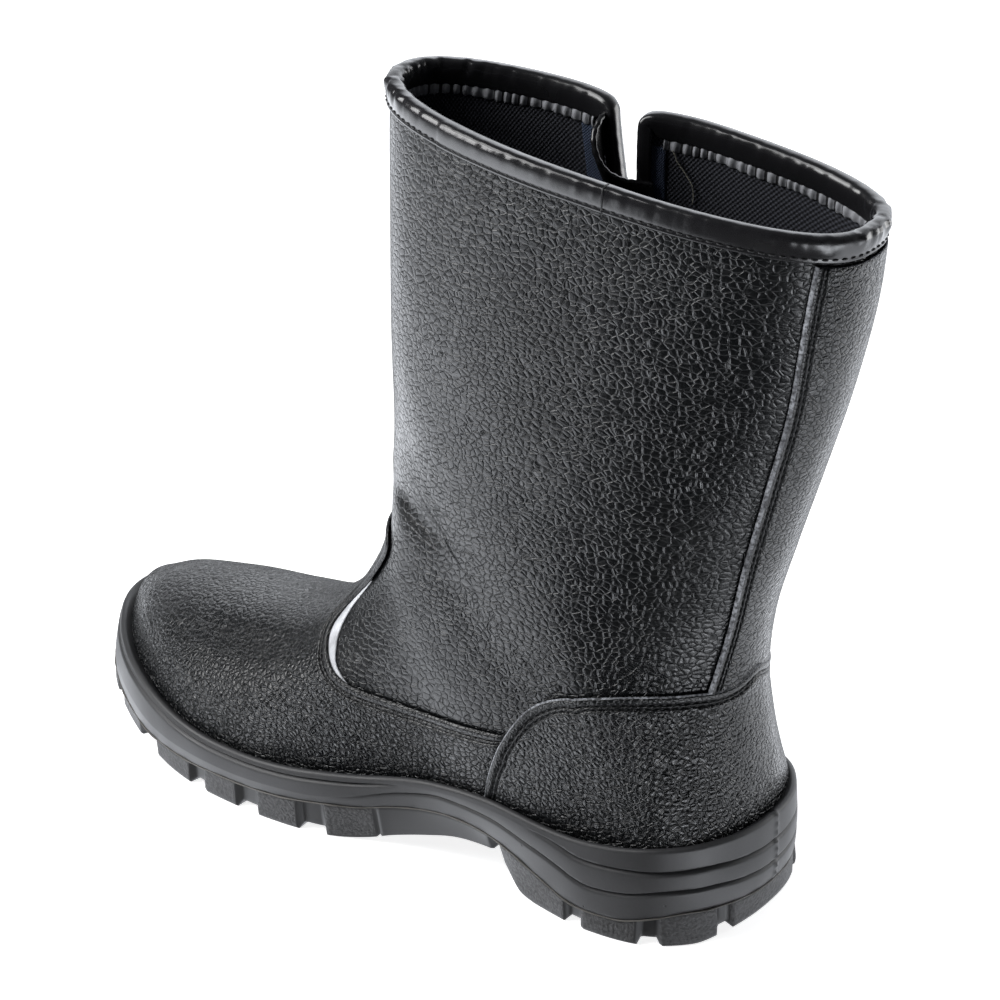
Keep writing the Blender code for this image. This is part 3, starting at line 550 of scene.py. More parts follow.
def round_the_back(places):
    """Places from the outer side to the back line, carried on to the inner side as their mirror image."""
    return np.concatenate([places, places[-2::-1] * (1.0, -1.0) + (0.0, 2 * np.pi)])


def outward_faces(points, out):
    """Quads of a grid of points that look the way of its outward directions."""
    r, c = points.shape[0] // 2, points.shape[1] // 2
    face = np.cross(points[r, c + 1] - points[r, c], points[r + 1, c] - points[r, c])
    return grid_faces(*points.shape[:2], flip=face @ out[r, c] <= 0.0)


def raw_leather_with_highlight(name, light, dark):
    """Cut or skived leather edge: pale matt fibres with darker smears of edge dye. Its pale, bluish tone and bright
    fibre speckle are partly painted highlight and painted glints.
    """
    material, tree, place = new_finish(name)
    fibres_and_glints = noise(place, 900.0, 4.0)
    smears = ranged(noise(place, 90.0, 3.0), 0.36, 0.52, 0.5, 1.0)
    tone = maths("MULTIPLY", ranged(fibres_and_glints, 0.36, 0.62, 0.12, 1.0), smears)
    return finished(material, mixed(tone, dark, light), fibres_and_glints, 0.25, 0.8, 0.8, 0.3)


panel_leather = grained_leather("panel_leather", cell=2.3, stretch=(1.0, 1.0, 0.78), relief=0.70, roughness=0.24)
seam_leather = grained_leather("seam_leather", cell=1.9, stretch=(1.0, 1.0, 0.85), relief=0.24, roughness=0.30)
# Raw edge finish: its pale bluish colour is the raw leather's own tone plus a painted highlight and glints.
raw_edge_and_highlight = raw_leather_with_highlight("raw_edge_and_highlight", (0.36, 0.375, 0.41), (0.015, 0.015, 0.017))
PANEL_FINISHES = [panel_leather, raw_edge_and_highlight, seam_leather]


def panel_finish(distance, raw_width):
    """Which of the panel finishes lies a distance in from a panel's edge."""
    return np.where(distance < raw_width, 1, np.where(distance < SEAM_WIDTH, 2, 0))


strip_side = edge_on_last(STRIP_EDGE, 1.7)
back_rows = np.linspace(14.0, TOP_ROW, 200)
side_heights = on_last(*strip_side.T)[:, 2]
strip_heights = np.interp(side_heights, side_heights[[0, -1]], STRIP_BACK_Z)
strip_rows = np.interp(strip_heights, on_last(back_rows, np.pi)[:, 2], back_rows)
strip_back = np.column_stack([strip_rows, np.full(len(strip_rows), np.pi)])
strip_grid, strip_distance = panel_grid(strip_side, strip_back, 8, room=0.9)
strip_places = round_the_back(strip_grid)
strip_distance = np.append(strip_distance, strip_distance[-2::-1])
tuck = smooth_step(97.0, 92.0, strip_heights)
strip_lift = edge_lift(strip_distance)[:, None] * (1 - 0.65 * tuck)
strip_points, strip_out = skin(strip_places[..., 0], strip_places[..., 1], strip_lift)
strip_finish = panel_finish(np.maximum(strip_distance[1:], strip_distance[:-1]), SKIVED + 0.01)
strip = make_piece("back_strip_leather", strip_points, outward_faces(strip_points, strip_out), PANEL_FINISHES,
                   np.repeat(strip_finish, strip_points.shape[1] - 1))
thicken(strip, STRIP_LEATHER, rim=1)
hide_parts("back_strip")
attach(strip, "root")


# Crescent inserts
# Thin strips of pale reflective tape set between vamp and shaft, one on each side of the boot.
# Each is glued to the shaft and caught in the vamp's seam, so that only a crescent shows.

INSERT_EDGE = [(157.2, 60.8), (161.0, 62.8), (165.0, 65.6), (167.4, 69.2), (168.3, 74.8), (166.0, 83.2),
               (158.0, 94.8)]
INSERT_SEAM = [(158.4, 60.0), (166.4, 62.6), (171.8, 67.0), (173.8, 71.0), (172.9, 76.5), (168.4, 84.0),
               (158.6, 95.6)]
INSERT_LIFT = 0.75
INSERT_TAPE = 0.5


def reflective_tape(name):
    """Grey woven tape with a silvery glint, a little soiled."""
    material, tree, place = new_finish(name)
    grit = node(tree, "TexVoronoi", place, Scale=2600.0)["Distance"]
    soil = ranged(noise(place, 140.0, 4.0), 0.3, 0.62, 0.45, 1.0)
    tone = maths("MULTIPLY", soil, ranged(grit, 0.0, 0.7, 1.0, 0.82))
    return finished(material, mixed(tone, (0.10, 0.105, 0.115), (0.78, 0.80, 0.84)), grit, 0.08, 0.3, 0.5)


silver_tape = reflective_tape("silver_tape")
insert_back, insert_front = (
    sampled(line, np.linspace(0.0, 1.0, len(line)), np.linspace(0.0, 1.0, 56))
    for line in (edge_on_last(INSERT_EDGE, 0.9), edge_on_last(INSERT_SEAM, 0.9)))
for name, sign in (("insert_outer", 1.0), ("insert_inner", -1.0)):
    across = np.linspace(0.0, 1.0, 9)[:, None]
    places = insert_back + (insert_front - insert_back) * across[..., None]
    crown = INSERT_LIFT - 0.35 * np.exp(-(across * 7.5) ** 2)
    points, out = skin(places[..., 0], sign * places[..., 1], crown)
    insert = make_piece(name + "_tape", points, outward_faces(points, out), [silver_tape])
    thicken(insert, INSERT_TAPE)
    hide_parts(name)
    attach(insert, "root")


# Vamp
# The leather panel over toe and sides of the foot, lasted under the sole and sewn over the shaft
# with two rows along its cut edge. It runs a little way under the heel counter.

VAMP_EDGE = [(80.0, 28.6), (77.0, 46.0), (74.5, 58.0), (75.5, 64.0), (80.0, 65.4), (86.6, 64.4), (101.0, 63.0),
             (115.0, 62.0), (138.0, 60.9), (156.0, 61.0), (166.4, 64.2), (172.8, 70.4), (169.8, 80.0), (157.6, 95.4),
             (149.8, 107.4), (147.5, 113.5)]
VAMP_LEATHER = 0.55
THROAT_ROW = 11.25               # where the edge crosses the front line
HIDDEN_X = 84.0                  # behind this place the heel counter covers the edge
HIDDEN_ROOM = 0.12               # share of its width that the border keeps there
COUNTER_FRONT = ((10.0, 37.0, 51.0, 63.5, 77.5), (95.5, 95.2, 92.0, 86.8, 77.4))
TOE_TIP = -0.995                 # row at which the panel closes over the tip
FLAT_SCALE = (12.0, 26.0)        # rough millimetres of one row and of one unit of turn

outer_edge = edge_on_last(VAMP_EDGE, 1.9)
last_row, last_turn = outer_edge[-1]
throat = np.array([(last_row, last_turn), (last_row + 0.02, 0.8 * last_turn), (THROAT_ROW + 0.1, 0.35 * last_turn),
                   (THROAT_ROW, 0.0)])
over_front = even_on_last(fine_line(np.concatenate([throat[:-1], throat[::-1] * (1.0, -1.0)]), 12), 1.9)
vamp_edge = np.concatenate([outer_edge[:-1], over_front, outer_edge[-2::-1] * (1.0, -1.0)])
room = np.where(on_last(*vamp_edge.T)[:, 0] < HIDDEN_X, HIDDEN_ROOM, 1.0)
for _ in range(12):
    room[1:-1] = (room[:-2] + room[1:-1] + room[2:]) / 3
vamp_borders = np.array(border_lines(vamp_edge, vamp_edge - (2.0, 0.0), room))


def fill_outline(outline, spacing):
    """Rows and turns spread over the area inside an outline, and the triangles between them."""
    flat = outline * FLAT_SCALE
    low, high = flat.min(axis=0), flat.max(axis=0)
    ticks = (np.arange(a + spacing / 2, b, spacing) for a, b in zip(low, high))
    spots = np.stack(np.meshgrid(*ticks), axis=-1).reshape(-1, 2)
    inside = np.zeros(len(spots), bool)
    for a, b in zip(flat, np.roll(flat, -1, axis=0)):
        level = (a[1] > spots[:, 1]) != (b[1] > spots[:, 1])
        inside ^= level & (spots[:, 0] < a[0] + (spots[:, 1] - a[1]) * (b[0] - a[0]) / (b[1] - a[1] + 1e-12))
    spots = spots[inside]
    spots = spots[off_line(spots, np.concatenate([flat, flat[:1]])) > 0.55 * spacing]
    corners = [Vector(p) for p in np.concatenate([flat, spots])]
    filled = delaunay_2d_cdt(corners, [], [list(range(len(flat)))], 1, 1e-7)
    return np.array(filled[0]) / FLAT_SCALE, filled[2]


def vamp_skin(places, lift):
    """Points and outward directions of the vamp, and how far each lies under the heel counter."""
    row, turn = np.moveaxis(places, -1, 0)
    x, _, z = np.moveaxis(on_last(row, turn), -1, 0)
    covered = smooth_step(-2.0, 1.0, np.interp(z, *COUNTER_FRONT) - x)
    return *skin(row, turn, lift * (1 - 0.62 * covered)), covered


bed_rows = np.linspace(vamp_borders[-1][-1, 0], TOE_TIP, 120)[1:]
bed_edge = np.column_stack([bed_rows, bed_turn(bed_rows)])
tip_turns = np.linspace(-bed_edge[-1, 1], bed_edge[-1, 1], 40)[1:-1]
outline = np.concatenate([vamp_borders[-1], bed_edge * (1.0, -1.0),
                          np.column_stack([np.full(38, TOE_TIP), tip_turns]), bed_edge[::-1]])
filled_places, filled_faces = fill_outline(outline, 1.3)
vamp_points, vamp_out, under_counter = vamp_skin(vamp_borders, edge_lift(BORDER)[:, None])
filled_points, filled_out, _ = vamp_skin(filled_places, OVER_UPPER + OVERLAY)
a, b, c = np.array([face[:3] for face in filled_faces]).T
looks = np.cross(filled_points[b] - filled_points[a], filled_points[c] - filled_points[a])
turned = -1 if np.median(np.sum(looks * filled_out[a], axis=1)) < 0.0 else 1
vamp_faces = outward_faces(vamp_points, vamp_out)
vamp_finish = np.append(np.repeat(panel_finish(BORDER[1:], 0.0), len(vamp_edge) - 1), [0] * len(filled_faces))
base = vamp_points.shape[0] * vamp_points.shape[1]
vamp_faces += [tuple(base + v for v in face[::turned]) for face in filled_faces]
vamp = make_piece("vamp_leather", np.concatenate([vamp_points.reshape(-1, 3), filled_points]), vamp_faces,
                  PANEL_FINISHES, vamp_finish)
thicken(vamp, VAMP_LEATHER, rim=1)
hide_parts("vamp")
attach(vamp, "root")


# Heel counter
# Leather overlay wrapped round the heel in one piece, its foot held behind the lip of the sole.
# Two rows of stitches along its cut edge hold it over vamp and back strip.

COUNTER_EDGE = [(95.5, 26.6), (95.2, 37.0), (92.0, 51.0), (86.8, 63.5), (77.4, 77.5), (65.0, 85.6), (44.0, 90.6),
                (24.0, 91.5)]
COUNTER_TOP_ROW = 17.36          # where its edge crosses the back line
COUNTER_LEATHER = 1.2

side_edge = edge_on_last(COUNTER_EDGE, 1.8)
side_row, side_turn = side_edge[-1]
shoulder = np.array([0.4 * side_row + 0.6 * COUNTER_TOP_ROW, 0.45 * side_turn + 0.55 * np.pi])
back_knots = [side_edge[-8], side_edge[-1], shoulder, (COUNTER_TOP_ROW, np.pi), shoulder * (1, -1) + (0, 2 * np.pi)]
half_edge = np.concatenate([side_edge[:-1], even_on_last(fine_line(back_knots, 20)[20:61], 1.8)])
heel_rows = np.linspace(13.0, 15.5, 400)
heel_row = float(np.interp(np.pi - 1e-4, bed_turn(heel_rows), heel_rows))
half_bed = np.linspace(half_edge[0, 0] + 0.9, heel_row + 0.02, len(half_edge))
half_bed = np.column_stack([half_bed, bed_turn(half_bed)])
counter_places, counter_distance = panel_grid(round_the_back(half_edge), round_the_back(half_bed), 30)
counter_lift = edge_lift(counter_distance) + 0.25 * np.exp(-(counter_distance / 6.0) ** 2)
counter_points, counter_out = skin(counter_places[..., 0], counter_places[..., 1], counter_lift[:, None])
# The outer 0.6 mm of its border takes the raw edge finish: a pale line that is partly the raw leather and partly
# painted highlight.
counter = make_piece("heel_counter_leather", counter_points, outward_faces(counter_points, counter_out),
                     PANEL_FINISHES, np.repeat(panel_finish(counter_distance[1:], 0.6), counter_points.shape[1] - 1))
thicken(counter, COUNTER_LEATHER, rim=1)
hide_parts("heel_counter")
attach(counter, "root")


# Seam stitches
# Black bonded thread, machine sewn in two rows along the edges of vamp, heel counter and back strip.
# Each stitch is a short twisted thread that dips into the leather at both ends.

# Along a stitch: share of its length, rise over the leather, share of the thread's girth
STITCH_FORM = ((-0.5, -0.28, 0.6), (-0.3, 0.1, 1.0), (0.0, 0.2, 1.05), (0.3, 0.1, 1.0), (0.5, -0.28, 0.6))


def darker(colour, share):
    return tuple(share * c for c in colour)


def sewing_thread(name, colour):
    """Twisted thread with a dull sheen."""
    material, tree, place = new_finish(name)
    twist = node(tree, "TexWave", place, Scale=900.0, Distortion=1.5)["Fac"]
    return finished(material, mixed(twist, darker(colour, 0.5), colour), twist, 0.08, 0.4, 0.5)


def capped_tube(rings, sides, start=0):
    """Faces through open rings of a tube, and over both its ends."""
    end = start + sides * (rings - 1)
    return grid_faces(rings, sides, start, closed=True) + [
        tuple(range(start + sides - 1, start - 1, -1)), tuple(range(end, end + sides))]


def thread_piece(name, rows, pitch, length, girth):
    """Black stitches along lines of points and outward directions: short threads that dip in at both ends."""
    angle = (np.arange(6) * np.pi / 3)[:, None]
    points, faces = [], []
    for line, out in rows:
        run = run_of(line)
        places = np.arange(pitch / 2, run[-1] - pitch / 3, pitch)
        middle = sampled(line, run, places)
        forward = unit(sampled(line, run, places + 0.5) - middle)
        side = unit(np.cross(sampled(out, run, places), forward))
        normal = np.cross(forward, side)
        for k in range(len(places)):
            faces += capped_tube(len(STITCH_FORM), 6, len(points))
            for reach, rise, share in STITCH_FORM:
                centre = middle[k] + reach * length * forward[k] + rise * normal[k]
                points.extend(centre + share * girth * (np.cos(angle) * side[k] + np.sin(angle) * normal[k]))
    piece = make_piece(name, points, faces, [black_thread], weld=False)
    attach(piece, "root")


black_thread = sewing_thread("black_thread", (0.016, 0.016, 0.018))
seam_rows = []
for row in STITCH_ROWS:
    i = int(np.argmin(np.abs(BORDER - row)))
    first, last = np.flatnonzero(under_counter[i] < 0.4)[[0, -1]]
    seam_rows += [(vamp_points[i, first:last + 1], vamp_out[i, first:last + 1]), (counter_points[i], counter_out[i])]
    seam_rows += [(strip_points[j][tuck < 0.3], strip_out[j][tuck < 0.3]) for j in (i, len(strip_points) - 1 - i)]
thread_piece("seam_stitches", seam_rows, pitch=3.1, length=2.2, girth=0.34)


# Collar binding
# A strip of smooth black synthetic folded over the raw edge of collar and slit and sewn through.
# It is drawn tight round the curves, so it puckers at the front, at the back and beside the slit.

BINDING_DROP = 7.0
SLIT_SEAM = 4.2
WALL = 2.2
LAP_X = 120.0                    # where the strip's two ends lap over each other
JOINT_X = 55.0                   # a joint in the strip on the outer side
PUCKERS = ((0.10, 61, 0.7), (0.07, 97, 2.1), (0.05, 149, 4.0))      # size, number round the edge, start
BINDING_SEAM = (2.45, 0.80)      # where its stitches lie: distance out of the wall, and share of the drop
# Section of the fold: distance out of the wall, and share of its drop
BINDING_FOLD = np.array([
    (1.30, 1.00), (2.05, 1.02), (2.45, 0.96), (2.50, 0.88), (2.28, 0.80), (2.55, 0.70), (2.85, 0.52), (3.05, 0.30),
    (3.10, 0.10), (2.95, -0.08), (2.55, -0.19), (1.90, -0.26), (1.00, -0.295), (0.00, -0.30), (-1.00, -0.295),
    (-1.90, -0.26), (-2.55, -0.19), (-2.95, -0.08), (-3.10, 0.10), (-3.05, 0.30), (-2.85, 0.52), (-2.60, 0.70),
    (-2.40, 0.84), (-2.25, 0.96), (-1.90, 1.02), (-1.30, 1.00), (-1.25, 0.40), (-1.20, -0.04), (0.0, -0.10),
    (1.20, -0.04), (1.25, 0.40)])


def shiny_synthetic(name, colour, roughness):
    """Smooth coated synthetic with fine pull lines and a few dull patches."""
    material, tree, place = new_finish(name)
    pulls = node(tree, "TexNoise", place, Scale=420.0, Detail=3.0, Distortion=0.6)[0]
    patches = noise(place, 60.0, 2.0)
    gloss = ranged(patches, 0.3, 0.7, roughness - 0.07, roughness + 0.07)
    return finished(material, mixed(patches, darker(colour, 0.6), colour), pulls, 0.12, 0.35, gloss, 0.6)


def collar_path():
    """Rows and turns of the wall's edge: round the collar from the slit's front corner, then round the slit."""
    rows = np.linspace(19.0, TOP_ROW, 900)
    front, rear = slit_turns(rows)
    slit_low = rows[rear - front > 1e-4][0]
    ring = np.column_stack([np.full(900, TOP_ROW), np.linspace(-front[-1], 2 * np.pi - rear[-1], 900)])
    ring = even_on_last(ring, 1.1)
    down = TOP_ROW + (slit_low - TOP_ROW) * np.sin(np.linspace(0.0, np.pi / 2, 160))
    front_edge, rear_edge = (np.column_stack([down, 2 * np.pi - turns]) for turns in slit_turns(down))
    slit = even_on_last(np.concatenate([rear_edge, front_edge[::-1]]), 0.9)
    return np.concatenate([ring[:-1], slit[:-1]]), len(ring) - 1


def evened(values, own, rounds):
    """Values round a closed line, softened by their neighbours."""
    for _ in range(rounds):
        values = (np.roll(values, 1, 0) + own * values + np.roll(values, -1, 0)) / (own + 2)
    return values


def tube(name, line, girth, beside, material):
    """Thread or rolled edge along a line of points; beside is a direction that the line never takes."""
    ahead = unit(np.gradient(line, axis=0))
    side = unit(np.cross(ahead, beside))
    rise = np.cross(ahead, side)
    angle = np.linspace(0.0, 2 * np.pi, 11)[:-1, None]
    girth = np.broadcast_to(girth, len(line))[:, None, None]
    rings = line[:, None] + girth * (np.cos(angle) * side[:, None] + np.sin(angle) * rise[:, None])
    piece = make_piece(name, rings, capped_tube(len(line), 10), [material], weld=False)
    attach(piece, "root")
    return piece


binding_synthetic = shiny_synthetic("binding_synthetic", (0.016, 0.016, 0.018), 0.22)
path, ring_count = collar_path()
edge_point, edge_out = skin(*path.T, -WALL / 2)
tangent = unit(np.roll(edge_point, -1, axis=0) - np.roll(edge_point, 1, axis=0))
edge_out = unit(edge_out - np.sum(edge_out * tangent, axis=1, keepdims=True) * tangent)
edge_in = evened(np.cross(tangent, edge_out), 2, 6)
edge_out = evened(edge_out, 2, 6)
edge_x, edge_y = edge_point[:, 0], edge_point[:, 1]
on_slit = evened((np.arange(len(path)) >= ring_count).astype(float), 1, 5)
reach = BINDING_DROP + (SLIT_SEAM - BINDING_DROP) * on_slit
phase = np.arange(len(path)) * 2 * np.pi / len(path)
tight = 0.4 + 1.3 * np.exp(-((edge_x - 150) / 14) ** 2) + 1.0 * np.exp(-((edge_x + 22) / 10) ** 2)
pucker = sum(size * np.sin(count * phase + start) for size, count, start in PUCKERS)
pucker = (pucker * tight)[:, None] * np.clip(0.55 - BINDING_FOLD[:, 1], 0.0, 0.7) / 0.7
lapped = 0.13 * smooth_step(LAP_X + 0.6, LAP_X - 0.6, edge_x) * smooth_step(40.0, 80.0, edge_x) * (edge_y > 0)
fold_out = BINDING_FOLD[:, 0] * (1.0 + lapped[:, None] + 0.9 * pucker)
fold_in = BINDING_FOLD[:, 1] * reach[:, None] + 0.6 * pucker
rings = edge_point[:, None] + fold_out[..., None] * edge_out[:, None] + fold_in[..., None] * edge_in[:, None]
count, sides = rings.shape[:2]
binding_faces = [tuple(v % (count * sides) for v in face) for face in grid_faces(count + 1, sides, closed=True)]
binding = make_piece("collar_binding_roll", rings, binding_faces, [binding_synthetic], weld=False)
bm = bmesh.new()
bm.from_mesh(binding.data)
bmesh.ops.recalc_face_normals(bm, faces=bm.faces)
bm.to_mesh(binding.data)
bm.free()
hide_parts("collar_binding")
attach(binding, "root")
on_ring = slice(3, ring_count - 3)
seam_line = edge_point + BINDING_SEAM[0] * edge_out + (BINDING_SEAM[1] * reach)[:, None] * edge_in
thread_piece("binding_stitches", [(seam_line[on_ring], edge_out[on_ring])], pitch=3.4, length=2.3, girth=0.28)
joint = int(np.argmin(np.abs(edge_x - JOINT_X) + 100 * (edge_y < 0)))
joint_line = fine_line(rings[joint, 1:15] + 0.1 * edge_out[joint], 4)
joint_line[:, 0] -= np.linspace(0.8, 0.0, len(joint_line))
tube("binding_joint", joint_line, 0.3, (1.0, 0.0, 0.0), black_thread)


# Hem tape
# A strip of silvery synthetic sewn over the inner end of the binding.
# The thread draws it into small puckers; each dip is given the thread's black, a dark dash that stands for the stitch
# and for painted shade in the dip.

HEM_TOP = 5.6
HEM_WIDTH = 5.0
HEM_PUCKER = 3.7
HEM_TAPE = 0.4
path_run = run_of(edge_point)
hem_run = np.arange(path_run[3], path_run[ring_count - 4], 0.42)
hem_point, hem_out, hem_in = (sampled(line, path_run, hem_run) for line in (edge_point, edge_out, edge_in))
hem_share = np.linspace(0.0, 1.0, 9)[:, None]
hem_wave = np.sin(2 * np.pi * hem_run / HEM_PUCKER + 1.3 * np.sin(hem_run / 6.1) + 0.9 * np.sin(hem_run / 2.9))
hem_drop = HEM_TOP + (HEM_WIDTH + 0.35 * np.sin(hem_run / 5.1) + 0.3 * hem_wave) * hem_share
hem_depth = 1.55 + 0.55 * np.sin(np.pi * hem_share) + 0.45 * hem_wave * np.sin(np.pi * hem_share) ** 0.6
hem_points = hem_point + hem_drop[..., None] * hem_in - hem_depth[..., None] * hem_out
# Faces in the pucker dips get the black thread finish: the stitch, and painted shade in the dip.
stitch_and_dip_shade = hem_wave[1:] < -0.84 + 0.22 * np.sin(hem_run[1:] / 4.3)
hem_synthetic = shiny_synthetic("hem_synthetic", (0.42, 0.43, 0.46), 0.26)
hem = make_piece("hem_tape", hem_points, outward_faces(hem_points, np.broadcast_to(-hem_out, hem_points.shape)),
                 [hem_synthetic, black_thread], np.tile(stitch_and_dip_shade, 8), weld=False)
thicken(hem, HEM_TAPE)
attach(hem, "root")


# Gusset
# Folded piece behind the slit that lets the leg in and keeps water out, sewn to the lining on both sides.
# It is faced with the binding's synthetic, and its upper edge is rolled.

# Its upper edge from the slit's front corner down to the rear edge: x, distance in from the wall, z
GUSSET_EDGE = [(92.5, 0.2, 271.0), (91.8, 5.0, 270.4), (91.0, 10.0, 266.4), (88.6, 12.0, 260.2), (85.6, 10.6, 254.6),
               (82.2, 6.0, 250.6), (79.0, 2.0, 249.0), (75.0, 0.3, 248.4)]
GUSSET_FOOT = ((95.0, 0.3, 229.0), (73.0, 0.3, 229.0))
GUSSET_CLOTH = 0.9
GUSSET_LAYER = -3.2              # how far its wall side lies within the leather's face
gusset_edge = fine_line(GUSSET_EDGE, 9)
across = np.linspace(0.0, 1.0, len(gusset_edge))
gusset_foot = sampled(np.array(GUSSET_FOOT), (0.0, 1.0), across)
down = np.linspace(0.0, 1.0, 40)[:, None]
gusset_x, gusset_in, gusset_z = np.moveaxis(gusset_edge + (gusset_foot - gusset_edge) * down[..., None], -1, 0)
gusset_folds = 1.1 * np.sin(5 * np.pi * across + 3.0 * down) * np.sin(np.pi * across)
gusset_in = gusset_in + gusset_folds * (1 - down) * down ** 0.3
row, turn = place_of(gusset_x, gusset_z)
gusset_points = np.stack([gusset_x, skin(row, -turn, GUSSET_LAYER)[0][..., 1] + gusset_in, gusset_z], axis=-1)
gusset = make_piece("gusset_fold", gusset_points, grid_faces(*gusset_points.shape[:2]), [binding_synthetic])
thicken(gusset, GUSSET_CLOTH)
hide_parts("gusset")
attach(gusset, "root")
roll_girth = 1.05 + 0.12 * np.sin(np.arange(len(across)) * 1.3)
tube("gusset_edge_roll", gusset_points[0], roll_girth, (0.0, 0.0, 1.0), binding_synthetic)


# Slit tapes
# Navy twill tape sewn over the edges of lining and gusset on both sides of the slit.
# One end of the sewing thread hangs loose beside the rear tape.

TAPE_TOP = 10.0
TAPE_LENGTH = 30.0
TAPE_CLOTH = 0.5
TAPE_LAYER, THREAD_LAYER = -2.75, -3.0
LOOSE_END = [(68.2, 262.0), (67.4, 260.0), (66.4, 257.4), (63.6, 253.4), (61.6, 250.0), (61.0, 246.6), (61.5, 243.0)]

navy_twill = woven_textile("navy_twill", 1.1, (0.075, 0.10, 0.16), (0.010, 0.013, 0.026))
for name, middle_x, slant in (("slit_tape_front", SLIT_X + 16.5, 3.0), ("slit_tape_back", SLIT_X - 10.5, -1.5)):
    tape_down = np.linspace(0.0, 1.0, 30)[:, None]
    tape_x = middle_x - slant * tape_down + np.linspace(-3.4, 3.4, 9)
    row, turn = place_of(tape_x, collar_height(tape_x) - TAPE_TOP - TAPE_LENGTH * tape_down)
    tape_points = skin(row, -turn, TAPE_LAYER - 0.15 * np.sin(9 * tape_down))[0]
    tape = make_piece(name, tape_points, grid_faces(30, 9), [navy_twill])
    thicken(tape, TAPE_CLOTH)
    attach(tape, "root")
row, turn = place_of(*fine_line(LOOSE_END, 6).T)
pale_thread = sewing_thread("pale_thread", (0.30, 0.29, 0.25))
tube("loose_thread", skin(row, -turn, THREAD_LAYER)[0], 0.24, (0.0, 1.0, 0.0), pale_thread)


# Insole
# Flat foot bed of felt-like board, cut to the inside of the upper.
# It lies on the bed of the sole and covers the lower edge of the lining.

INSOLE_BOARD = 2.6
INSOLE_TOP = 3.3                 # height of its face over the bed
insole_rows = np.linspace(-0.6, 14.3, 90)
insole_turn = bed_turn(insole_rows) - 0.02
outer_side, inner_side = (skin(insole_rows, turn, -2.8)[0][:, None] for turn in (insole_turn, -insole_turn))
insole_points = outer_side + (inner_side - outer_side) * np.linspace(0.0, 1.0, 30)[:, None]
insole_points[..., 2] = along(SOLE_X, BED_Z, insole_points[..., 0]) + INSOLE_TOP
insole_felt = woven_textile("insole_felt", 0.9, (0.03, 0.03, 0.033), (0.012, 0.012, 0.013))
insole = make_piece("insole_board", insole_points, grid_faces(90, 30, flip=True), [insole_felt])
thicken(insole, INSOLE_BOARD)
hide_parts("insole")
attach(insole, "root")


# Midsole
# Soft polyurethane foam moulded straight onto the lasted upper, with a rounded lip, two grooves round its side
# and a thin line of flash where the mould halves meet.

# Outline of the lip from above: x, and half widths on the outer and the inner side
OUTLINE = np.array([
    (4, 0, 0), (5, 12, 12), (9, 24, 23), (18, 35.5, 35), (31, 43, 42.8), (50, 46, 46), (72, 45.5, 45.5),
    (97, 43.5, 42.5), (122, 43, 42.5), (148, 45.3, 45), (174, 48.7, 48.7), (200, 51, 51), (224, 51, 51),
    (248, 47.5, 47.5), (270, 40, 41), (286, 31, 33.5), (297, 20.5, 24.5), (303.3, 11, 14), (305.5, 0, 0)])
# Heights of tread, parting line and lip, and how far parting line and foot stand out, at the places along the sole
TREAD_Z = (3.0, 1.0, 0, 0, 0, 0, 0, 1.0, 14.0, 13.0, 9.4, 5.2, 1.8, 0, 0, 0, 0.5, 2.4, 6.0, 9.0, 12.5)
PARTING_Z = (11.0, 12.4, 12.6, 10.6, 7.8, 9.0, 14.4, 18.0, 21.6, 23.0, 21.8, 19.2, 16.6, 14.6, 12.2, 10.6, 9.8, 9.8,
             12.8, 15.6, 19.0)
LIP_Z = (39.2, 38.9, 38.3, 37.5, 36.0, 35.3, 35.9, 36.8, 37.6, 36.8, 35.3, 32.6, 30.4, 27.6, 24.8, 23.4, 24.4, 27.2,
         30.0, 31.6, 33.0)
FLARE = (0.3, 0.6, 1.5, 1.5, 1.0, 0.5, -0.5, -1.6, -2.7, -3.5, -3.5, -3.0, -2.0, 0, 1.0, 1.0, 1.0, 1.5, 2.6, 3.6, 3.6)
FOOT = (0.2, 1.2, 3.6, 3.8, 2.8, 0.8, -2.0, -4.0, -4.9, -5.0, -5.0, -5.2, -4.5, -1.0, 0.8, 1.2, 1.4, 1.6, 3.0, 4.6,
        4.6)
# Height and depth of the two grooves at their own places
GROOVE_X = (0, 12, 24, 36, 47, 55, 60, 66, 77, 90, 112, 126, 136, 150, 160, 182, 212, 230, 250, 272, 290, 312)
LOWER_Z = (19.2, 22.2, 21.6, 19.2, 18.6, 20.4, 22.6, 24.8, 27.8, 30.6, 31.4, 28.8, 26.0, 21.2, 18.8, 16.2, 14.6, 14.6,
           15.4, 18.4, 20.8, 23.4)
LOWER_DEPTH = (1.6,) * 9 + (1.5, 1.3, 1.1, 0.9, 0.4) + (0,) * 8
UPPER_Z = (27.8, 30.0, 29.2, 28.8, 28.6, 29.6, 31.2, 32.6, 33.8, 34.8, 34.0, 32.2, 30.0, 27.0, 25.4, 22.3, 21.0, 21.9,
           24.6, 27.3, 29.0, 30.4)
UPPER_DEPTH = (1.6,) * 6 + (1.4, 0.6, 0, 0, 0, 0, 0.8) + (1.6,) * 9
NEAR_GROOVE = np.array([-2.2, -1.6, -1.1, -0.7, -0.35, -0.1, 0.08, 0.2, 0.3, 0.45])[:, None]
LIP_ROUND = 1.5


